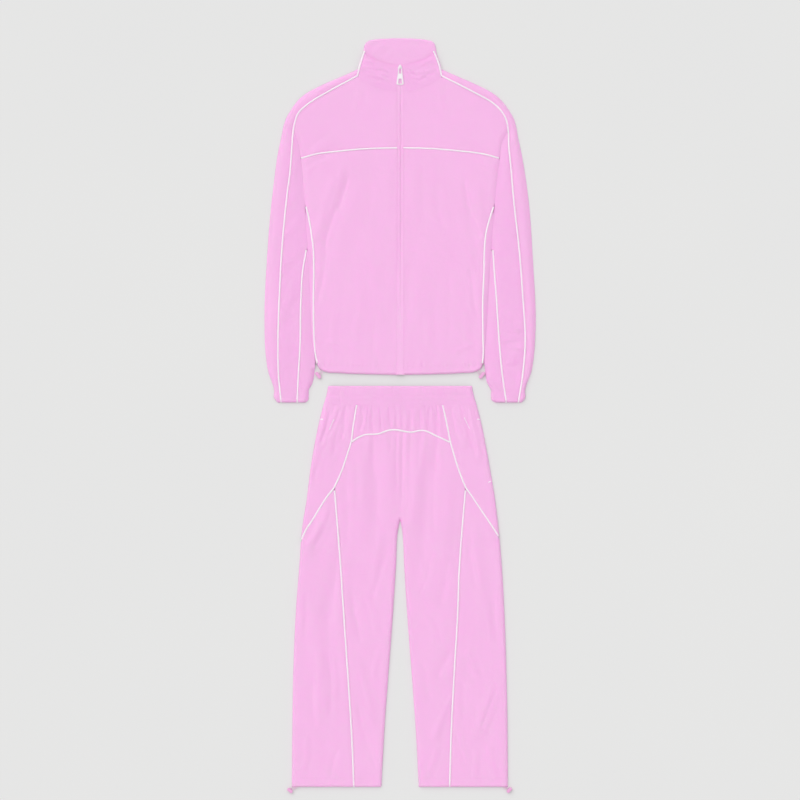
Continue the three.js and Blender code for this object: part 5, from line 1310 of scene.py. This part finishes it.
def outline_of(edges):
    """Closed outline, anticlockwise, from edges that each move in by their own allowance."""
    lines = []
    for parts, turn_round in edges:
        points, inset = along(parts, np.linspace(0, len(parts), 8 * len(parts) + 9))
        keep = np.r_[True, np.linalg.norm(np.diff(points, axis=0), axis=1) > 1e-6]
        points, inset = points[keep], inset[keep]
        if turn_round:
            points, inset = points[::-1], inset[::-1]
        lines.append(moved(points, inset, 1))
    corners = [
        crossing(this[-2], this[-1], following[0], following[1])
        for this, following in zip(lines, lines[1:] + lines[:1])
    ]
    points = []
    for k, this in enumerate(lines):
        from_start, from_end = this - corners[k - 1], this - corners[k]
        early = (from_start @ (this[1] - this[0]) <= 0) & (np.linalg.norm(from_start, axis=1) < CORNER_REACH)
        late = (from_end @ (this[-1] - this[-2]) >= 0) & (np.linalg.norm(from_end, axis=1) < CORNER_REACH)
        points += [corners[k - 1][None], this[~early & ~late]]
    points = np.vstack(points)
    return points[np.linalg.norm(np.roll(points, -1, axis=0) - points, axis=1) > 0.05]


def back_sheet(node, points):
    """A level sheet with a rounded rim, from its outline."""
    step = unit(np.roll(points, -1, axis=0) - points)
    normal = unit(step + np.roll(step, 1, axis=0))
    inwards = np.column_stack([-normal[:, 1], normal[:, 0]])
    levels = [
        np.column_stack([points + inset * inwards, np.full(len(points), height)])
        for inset, height in RIM_RINGS
    ]
    count = len(points)
    index = np.arange(count)
    after = np.roll(index, -1)
    faces = [index[::-1], index + 3 * count]
    for k in (0, count, 2 * count):
        faces += list(np.column_stack([index + k, after + k, after + k + count, index + k + count]))
    stacked = np.vstack(levels)
    made = mesh_object(node + "_cloth", stacked, faces, TRICOT, stacked[:, :2])
    laid(made, node, "pink_jersey")


back_sheet("jacket_back", outline_of([
    run(1, SEAM, ("hem_seam", -202, 203)),
    run(1, BESIDE_ARM, ("arm_line", BACK_ARM_START, UNDERARM_TOP)),
    run(1, SEAM, ("arm_line", "back_corner", UNDERARM_TOP)),
    run(1, BACK_INSET, ("sleeve_edge", UNDERARM_TOP, SHOULDER_END)),
    run(1, SEAM, ("collar_flank", SHOULDER_END, 813)),
    run(1, SEAM, ("nape", 100, -101)),
    run(-1, SEAM, ("collar_flank", SHOULDER_END, 813)),
    run(-1, BACK_INSET, ("sleeve_edge", UNDERARM_TOP, SHOULDER_END)),
    run(-1, SEAM, ("arm_line", "back_corner", UNDERARM_TOP)),
    run(-1, BESIDE_ARM, ("arm_line", BACK_ARM_START, UNDERARM_TOP)),
]))
back_sheet("hem_casing_back", outline_of([
    run(1, BACK_INSET, ("hem", -195, 195)),
    run(1, BACK_INSET, ("casing_side", 0, 1)),
    run(1, SEAM, ("hem_seam", 200, -200)),
    run(-1, BACK_INSET, ("casing_side", 0, 1)),
]))
HALF_BACKS = {
    "sleeve_back": [
        [BACK_INSET, ("arm_line", "sleeve_edge", CUFF_END)],
        [BACK_INSET, ("sleeve_edge", CUFF_END, UNDERARM_TOP - SEAM)],
        [SEAM, ("sleeve_edge", "arm_line", UNDERARM_TOP)],
        [BACK_INSET, ("arm_line", UNDERARM_TOP, BACK_ARM_START, BESIDE_ARM),
         ("arm_line", BACK_ARM_START, CUFF_END)],
    ],
    "back_leg": [
        [BACK_INSET, ("inseam", "trouser_edge", ANKLE)],
        [BACK_INSET, ("trouser_edge", ANKLE, WAIST_SEAM)],
        [SEAM, ("trouser_edge", "centre", WAIST_SEAM)],
        [SEAM, ("centre", WAIST_SEAM, CROTCH)],
        [BACK_INSET, ("inseam", CROTCH - 1, ANKLE)],
    ],
}
for side, column in SIDES.items():
    for name, rows in HALF_BACKS.items():
        points = outline_of([(edge(side, *row), False) for row in rows])
        back_sheet(f"{name}_{column}", points if side > 0 else (points * MIRROR)[::-1])

# %% [markdown]
# ## Collar back
# The collar stands, so its back lies behind the open front and its inside shows above it. It is
# one doubled strip whose rim is a soft fold, with slanting creases where it bends to lie flat.

# %% Collar back
COLLAR_LOW, COLLAR_HIGH = 813, 890
COLLAR_CELL = 2.2
collar_edges = {
    "inner": flip(edge(-1, 0, ("collar_flank", COLLAR_LOW, COLLAR_HIGH))),
    "outer": edge(1, 0, ("collar_flank", COLLAR_LOW, COLLAR_HIGH)),
    "low": edge(1, SEAM, ("nape", -101, 100)),
    "high": edge(1, 0, ("collar_rim", -81, 80.5)),
}
rim_line = LINES[1]["collar_rim"](np.linspace(-81, 80.5, 60))
flank_lines = [
    signed(LINES[side]["collar_flank"](np.linspace(COLLAR_LOW, COLLAR_HIGH, 40)), side) for side in SIDES
]


def inside_collar_top(points):
    out, up = nearest(rim_line, points), points[:, 1]
    flanks = np.minimum(*(nearest(line, points) for line in flank_lines))
    under_piping = 1 - eased((COLLAR_HIGH + 2 - up) / 60)
    level = 4.7 + 0.6 * under_piping * eased((up - 846) / 30)
    waves = creased(NAPE_CREASES, points) + 0.4 * slow_waves(points)
    edge_roll = rolled(np.minimum(out, flanks), 4)
    return (level + waves * eased((up - 838) / 12)) * (0.35 + 0.65 * edge_roll)


collar_rows = stations(collar_edges["inner"], collar_edges["outer"], COLLAR_CELL, "open", "roll")
collar_columns = stations(collar_edges["low"], collar_edges["high"], COLLAR_CELL, "roll", "roll")
collar_flat = grid_between(collar_edges, collar_rows, collar_columns)
collar_uv = collar_flat.reshape(-1, 2)
collar_grid = np.dstack([collar_flat, inside_collar_top(collar_uv).reshape(collar_flat.shape[:2])])
collar_points, collar_faces = shell(collar_grid, collar_grid * [1, 1, 0])
collar_back = mesh_object(
    "collar_back_cloth", collar_points, collar_faces, TRICOT, np.vstack([collar_uv] * 2))
laid(collar_back, "collar_back", "pink_jersey")

# %% [markdown]
# ## Waistband
# The waistband is a flat tube over wide elastic. Its top edge is a fold, and its foot lies level
# with the cloth below. Rows of stitching run round it and pin the cloth down, so it puffs between
# them, and it is gathered into narrow upright ripples.

# %% Waistband
BAND_LINES = [16.0, 31.0, 43.0, 66.0]
BAND_THICK = 1.0
BAND_ROWS = np.r_[WAIST_SEAM + SEAM, np.arange(21.2, 61, 1.5), np.arange(61.2, WAIST_TOP, 0.6), WAIST_TOP]
FRONT_COUNT, BACK_COUNT = 250, 60
waist_edge = follow(UP_LINES["waist_edge"], "up", "right")


def band_height(x, up, half):
    """Front of the waistband: puffed between its stitch lines and rippled across them."""
    gap = np.min([np.abs(up - line) for line in BAND_LINES], axis=0)
    puff = 1 - np.exp(-(gap / 3.2) ** 2)
    distance = half - np.abs(x)
    fine = ripples(x, up, 5.4, 12) * (0.35 + 0.65 * puff)
    waves = (0.5 * fine + 0.35 * ripples(x, up, 13, 14)) * rolled(np.maximum(distance - 2, 0), 10)
    top_fold = 0.5 + 0.5 * rolled(WAIST_TOP - up + 0.1, 3.5)
    return ((7.15 + 0.4 * puff) * rolled(distance) + waves) * top_fold


def band_ring(up):
    """One turn round the waistband: its rippled front, then its level back."""
    half, near_side = float(waist_edge(up)), np.array(MARKS["roll"])
    flat_part = np.linspace(-half + near_side[-1], half - near_side[-1], FRONT_COUNT)
    x = np.r_[-half, -half + near_side[:-1], flat_part, half - near_side[-2::-1], half]
    front = np.column_stack([x, np.full(len(x), up), np.maximum(band_height(x, up, half), 0)])
    back_x = np.linspace(half - 4, -half + 4, BACK_COUNT)
    return np.vstack([front, np.column_stack([back_x, np.full(BACK_COUNT, up), np.zeros(BACK_COUNT)])])


outside = np.array([band_ring(up) for up in BAND_ROWS])
turn_step = np.roll(outside, -1, axis=1) - np.roll(outside, 1, axis=1)
inside = outside - BAND_THICK * unit(turn_step[..., ::-1] * [-1, 0, 1])
index = np.arange(outside[..., 0].size).reshape(outside.shape[:2])
after, inner = np.roll(index, -1, axis=1), index.size
band_faces = np.stack([index[:-1], after[:-1], after[1:], index[1:]], axis=-1).reshape(-1, 4)
low_rim = np.column_stack([index[0], index[0] + inner, after[0] + inner, after[0]])
high_rim = np.column_stack([after[-1], after[-1] + inner, index[-1] + inner, index[-1]])
round_uv = np.column_stack([distances(outside, 1).ravel(), outside[..., 1].ravel()])
waistband = mesh_object(
    "waistband_cloth", np.vstack([outside.reshape(-1, 3), inside.reshape(-1, 3)]),
    np.vstack([band_faces, band_faces[:, ::-1] + inner, low_rim, high_rim]), GATHERED,
    np.vstack([round_uv, round_uv]),
)
laid(waistband, "waistband", "gathered_jersey")

# %% [markdown]
# ## Piping
# Piping is a bias strip folded over a fine cord and caught in the seam, so that a slim white roll
# stands a little above the cloth. Each one is an oval tube that follows its seam and the cloth's
# height, with both of its ends closed.

# %% Piping
PIPING_HALF = 2.1
PIPING_HIGH = 1.35


def edge_points(parts, cell=3.2):
    places = [k + np.linspace(0, 1, max(2, round(part[0][-1] / cell)) + 1) for k, part in enumerate(parts)]
    places = np.unique(np.concatenate(places))
    return along(parts, places)[0]


def smoothed(values, rounds=4):
    for _ in range(rounds):
        values = np.r_[values[0], (values[:-2] + 2 * values[1:-1] + values[2:]) / 4, values[-1]]
    return values


def piping(node, side, top, *stretches):
    """A piping along its seam, and how long it is."""
    parts = edge(side, SEAM, *stretches)
    points = edge_points(parts)
    height = smoothed(np.maximum(top(points), PIPING_HIGH + 0.1))
    path = np.column_stack([points[:, 0] * side, points[:, 1], height])
    made = tube(node + "_satin", path, PIPING_HALF, PIPING_HIGH, 10, SATIN)
    dressed(made, "suit", "white_piping", node)
    print(node, "length, mm:", round(sum(part[0][-1] for part in parts)))


def with_collar(side):
    collar, sleeve = collar_top(side), sleeve_top(side)
    return lambda points: np.where(
        points[:, 1] > COLLAR_POINT, collar(points), np.minimum(sleeve(points), collar_height(points) + 2))


for side, column in SIDES.items():
    body, sleeve, leg = body_top(side), sleeve_top(side), trouser_top(side)
    for name, top, *stretches in (
        ("sleeve", with_collar(side), ("sleeve_seam", CUFF_END, COLLAR_POINT),
         ("collar_side", COLLAR_POINT, 868.5)),
        ("chest", body, ("chest_seam", 7.5, 237.4)),
        ("side", body, ("side_seam", 119, 495)),
        ("underarm", sleeve, ("underarm_seam", CUFF_END, 391)),
        ("leg", leg, ("leg_seam", ANKLE, -186)),
        ("hip", leg, ("hip_seam", 236.2, HIP_IN), ("yoke_seam", YOKE_TIP, WAIST_SEAM - 1)),
    ):
        piping(f"piping_{name}_{column}", side, top, *stretches)
piping("piping_arch", 1, yoke_top, ("arch", -115.4, 118.4))

# %% [markdown]
# ## Zip slider and pull
# The slider sits at the top of the zip. Its pull is a flat white tab with two holes, which swings
# on the slider's loop, so it rides on its own body.

# %% Zip slider and pull
softened("zip_slider", "suit", "white_plastic", ACETAL, 0.3)
softened("zip_pull", "pull_tab", "white_plastic", ACETAL, 0.3)
print("slider and pull made")

# %% [markdown]
# ## Zip tapes
# Each tape is a woven strip that is sewn under the front's edge. The zip is the hidden kind, with
# its coil turned inwards, so from above the two tapes meet as one smooth band. The band lies level
# with the cloth beside it, and each tape steps down where it goes under the front.

# %% Zip tapes
ZIP_LOW, ZIP_HIGH = 92, 831
TAPE_TOP, TAPE_THICK, TAPE_STEP = 7.4, 0.7, 0.85
TAPE_OUTS = [0.01, 1.2, 2.6, 4, 5.4, BESIDE_ZIP - 0.07, BESIDE_ZIP - 0.05, 8.4, 10.4]
tape_lift = follow(table(["up", "rise"], [[ZIP_LOW, 0], [800, 0], [ZIP_HIGH, 0.3]]), "up", "rise")
for side, column in SIDES.items():
    flat = np.dstack(np.meshgrid(TAPE_OUTS, np.linspace(ZIP_LOW, ZIP_HIGH, 247)))
    sink = TAPE_STEP * (flat[..., 0] > BESIDE_ZIP - 0.06)
    grid = np.dstack([flat, TAPE_TOP + tape_lift(flat[..., 1]) - sink])
    points, faces = shell(grid, grid - [0, 0, TAPE_THICK])
    points[:, 0] *= side
    uv = np.vstack([flat.reshape(-1, 2)] * 2)
    node = f"zip_tape_{column}"
    made = mesh_object(node + "_woven", points, faces[:, ::side], TAPE, uv)
    laid(made, node, "zip_tape")

# %% [markdown]
# ## Stitches and zip coil
# Sewing is one small shape repeated along a line, and so is the coil of the zip. One Geometry
# Nodes tree does both: it turns lines into curves, spaces points along them, and sets a bead on
# each, turned to face along its line. Its inputs are the spacing and the bead's three sizes.

# %% Tree that sets beads along lines
BEAD_FACES = 20


def beads_along_lines():
    tree = bpy.data.node_groups.new("beads_along_lines", "GeometryNodeTree")
    tree.interface.new_socket("Lines", in_out="INPUT", socket_type="NodeSocketGeometry")
    for name, value in (("Spacing", 0.003), ("Along", 0.002), ("Across", 0.0005), ("High", 0.0004)):
        socket = tree.interface.new_socket(name, in_out="INPUT", socket_type="NodeSocketFloat")
        socket.default_value = value
    tree.interface.new_socket("Material", in_out="INPUT", socket_type="NodeSocketMaterial")
    tree.interface.new_socket("Beads", in_out="OUTPUT", socket_type="NodeSocketGeometry")
    given = add(tree, "NodeGroupInput").outputs
    curve = add(tree, "GeometryNodeMeshToCurve", {}, {"Mesh": given["Lines"]})
    spaced = add(
        tree, "GeometryNodeResampleCurve", {"mode": "LENGTH"},
        {"Curve": curve.outputs[0], "Length": given["Spacing"]},
    )
    tangent = add(tree, "GeometryNodeInputTangent")
    facing = add(
        tree, "FunctionNodeAlignRotationToVector", {"axis": "X", "pivot_axis": "Z"},
        {"Vector": tangent.outputs[0]},
    )
    size = add(
        tree, "ShaderNodeCombineXYZ", {}, {"X": given["Along"], "Y": given["Across"], "Z": given["High"]})
    bead = add(tree, "GeometryNodeMeshIcoSphere", {"Radius": 0.5, "Subdivisions": 1})
    placed = add(tree, "GeometryNodeInstanceOnPoints", {}, {
        "Points": spaced.outputs[0], "Instance": bead.outputs[0],
        "Rotation": facing.outputs[0], "Scale": size.outputs[0],
    })
    real = add(tree, "GeometryNodeRealizeInstances", {}, {"Geometry": placed.outputs[0]})
    smooth = add(tree, "GeometryNodeSetShadeSmooth", {}, {"Geometry": real.outputs[0]})
    painted = add(
        tree, "GeometryNodeSetMaterial", {}, {"Geometry": smooth.outputs[0], "Material": given["Material"]})
    add(tree, "NodeGroupOutput", {}, {"Beads": painted.outputs[0]})
    return tree


BEADS = beads_along_lines()


def beads(name, lines, slot, material, spacing, sizes):
    """One plain mesh of beads along lines, which are lists of points in millimetres."""
    points, pairs = [], []
    for line in lines:
        pairs += [(len(points) + k, len(points) + k + 1) for k in range(len(line) - 1)]
        points += [tuple(np.asarray(p) * MM) for p in line]
    mesh = bpy.data.meshes.new(name)
    mesh.from_pydata(points, pairs, [])
    made = bpy.data.objects.new(name, mesh)
    bpy.context.collection.objects.link(made)
    modifier = made.modifiers.new("beads", "NODES")
    modifier.node_group = BEADS
    values = {"Spacing": spacing * MM, "Material": material}
    values.update({way: size * MM for way, size in zip(("Along", "Across", "High"), sizes)})
    for socket in BEADS.interface.items_tree:
        if socket.in_out == "INPUT" and socket.name in values:
            modifier[socket.identifier] = values[socket.name]
    graph = bpy.context.evaluated_depsgraph_get()
    final = bpy.data.meshes.new_from_object(made.evaluated_get(graph))
    made.modifiers.clear()
    made.data = final
    if not final.materials:
        final.materials.append(material)
    dressed(made, "suit", slot)
    print(name, "beads:", len(final.polygons) // BEAD_FACES)


# %% [markdown]
# ## Zip coil
# The nylon coil lies under the tapes, and only the crowns of its loops press through where the
# tapes meet. They are 1.6 mm apart, set half a loop apart on the two sides, from the hem to just
# under the slider.

# %% Zip coil
COIL_STEP = 1.6
COIL_OUT = 0.5
coil_lines = []
for side, shift in ((-1, 0.0), (1, COIL_STEP / 2)):
    out = side * COIL_OUT
    coil_lines.append([(out, ZIP_LOW + 3 + shift, 7.04), (out, ZIP_HIGH - 9 + shift, 7.24)])
beads("zip_coil", coil_lines, "pink_plastic", COIL_PLASTIC, COIL_STEP, (1.3, 1.5, 0.9))

# %% [markdown]
# ## Sewing
# Lockstitch rows hold the hem casing, cuffs, waistband, ankle hems, zip and both sides of the
# piping. Stitches are 3 mm apart in pink polyester thread. They are drawn 0.6 mm thick, about
# twice the real thread, so that a near view shows them. White bar tacks close the pockets' ends.

# %% Sewing
THREAD = knitted("polyester_thread_pink", "#f6b7e7", "#f4b1e3", 0.9, 0.05, 6, 0.05, 0.5, 0.1)
WHITE_THREAD = knitted("polyester_thread_white", "#fff9fe", "#fbf0f8", 0.9, 0.05, 6, 0.05, 0.5, 0.1)
STITCH_LIFT = 0.02
PAST_PIPING = 4.4
SEWN_SEAMS = [
    ("body", PAST_PIPING, ("chest_seam", 12, 232)),
    ("body", -3.0, ("neck_seam", 12, 96)),
    ("sleeve", PAST_PIPING, ("sleeve_seam", 60, 800)),
    ("sleeve", -PAST_PIPING, ("sleeve_seam", 60, 800)),
    ("leg", PAST_PIPING, ("leg_seam", ANKLE + 4, -190)),
    ("leg", -PAST_PIPING, ("leg_seam", ANKLE + 4, -190)),
    ("leg", PAST_PIPING, ("hip_seam", 164, 230)),
]


def sewn_line(points, top, side):
    height = smoothed(top(points), 2) + STITCH_LIFT
    return np.column_stack([points[:, 0] * side, points[:, 1], height]).tolist()


def beside(points, offset):
    return moved(points, np.full(len(points), abs(offset)), math.copysign(1, offset))


def level_row(low, high, count, up):
    return np.column_stack([np.linspace(low, high, count), np.full(count, up)])


stitch_lines = []
for side, column in SIDES.items():
    line = LINES[side]
    tops = {"body": body_top(side), "sleeve": sleeve_top(side), "leg": trouser_top(side)}
    hem_outs = np.linspace(12, 192, 56)
    rows = [
        ("body", np.column_stack([np.full(200, 9.6), np.linspace(94, 764, 200)])),
        ("body", line["hem_seam"](hem_outs) - [0, 3.2]),
        ("leg", level_row(51, point_on(line["trouser_edge"], ANKLE)[0] - 6, 66, ANKLE + 22)),
    ]
    for up in (CUFF_STITCH, CUFF_STITCH - 4):
        ends = point_on(line["arm_line"], up)[0] + 5, point_on(line["sleeve_edge"], up)[0] - 5
        rows.append(("sleeve", level_row(*ends, 30, up)))
    for area, offset, stretch in SEWN_SEAMS:
        rows.append((area, beside(edge_points(edge(side, SEAM, stretch)), offset)))
    stitch_lines += [sewn_line(points, tops[area], side) for area, points in rows]
for up in BAND_LINES[1:3]:
    half = float(waist_edge(up))
    band_row = level_row(5 - half, half - 5, 120, up)
    height = band_height(band_row[:, 0], up, half) + STITCH_LIFT
    stitch_lines.append(np.column_stack([band_row, height]).tolist())
beads("lockstitches", stitch_lines, "pink_jersey", THREAD, 3.0, (2.0, 0.6, 0.4))

TACKS = table(["side", "out", "up", "lean"], [
    [-1, 191.5, -15.4, -0.1], [1, 191.3, -15.4, -0.1], [1, 218.5, -163.5, 0.5],
])
tack_lines = []
for tack in TACKS:
    run_out = np.linspace(-6.2, -0.6, 9)
    tack_points = np.column_stack([tack["out"] + run_out, tack["up"] + tack["lean"] * run_out])
    tack_lines.append(sewn_line(tack_points, trouser_top(tack["side"]), tack["side"]))
beads("pocket_bar_tacks", tack_lines, "white_piping", WHITE_THREAD, 0.7, (1.0, 2.8, 1.5))

# %% [markdown]
# ## Pocket edges
# A short pale tape shows at the top of each hip, where the pocket opens. It is a thin strip that
# lies on the hip panel and follows its ripples.

# %% Pocket edges
POCKETS = {-1: ((158.6, -14.6), (169.7, -40.3)), 1: ((154.1, -11), (166.8, -37.7))}
for side, ends in POCKETS.items():
    middle = straight(*ends)(np.linspace(0, 1, 20))
    height = smoothed(trouser_top(side)(middle), 3) + 0.2
    path = np.column_stack([middle[:, 0] * side, middle[:, 1], height])
    node = f"pocket_edge_{SIDES[side]}"
    dressed(tube(node + "_tape", path, 0.7, 0.5, 10, SATIN), "suit", "pocket_edge", node)
print("pocket edges:", len(POCKETS))
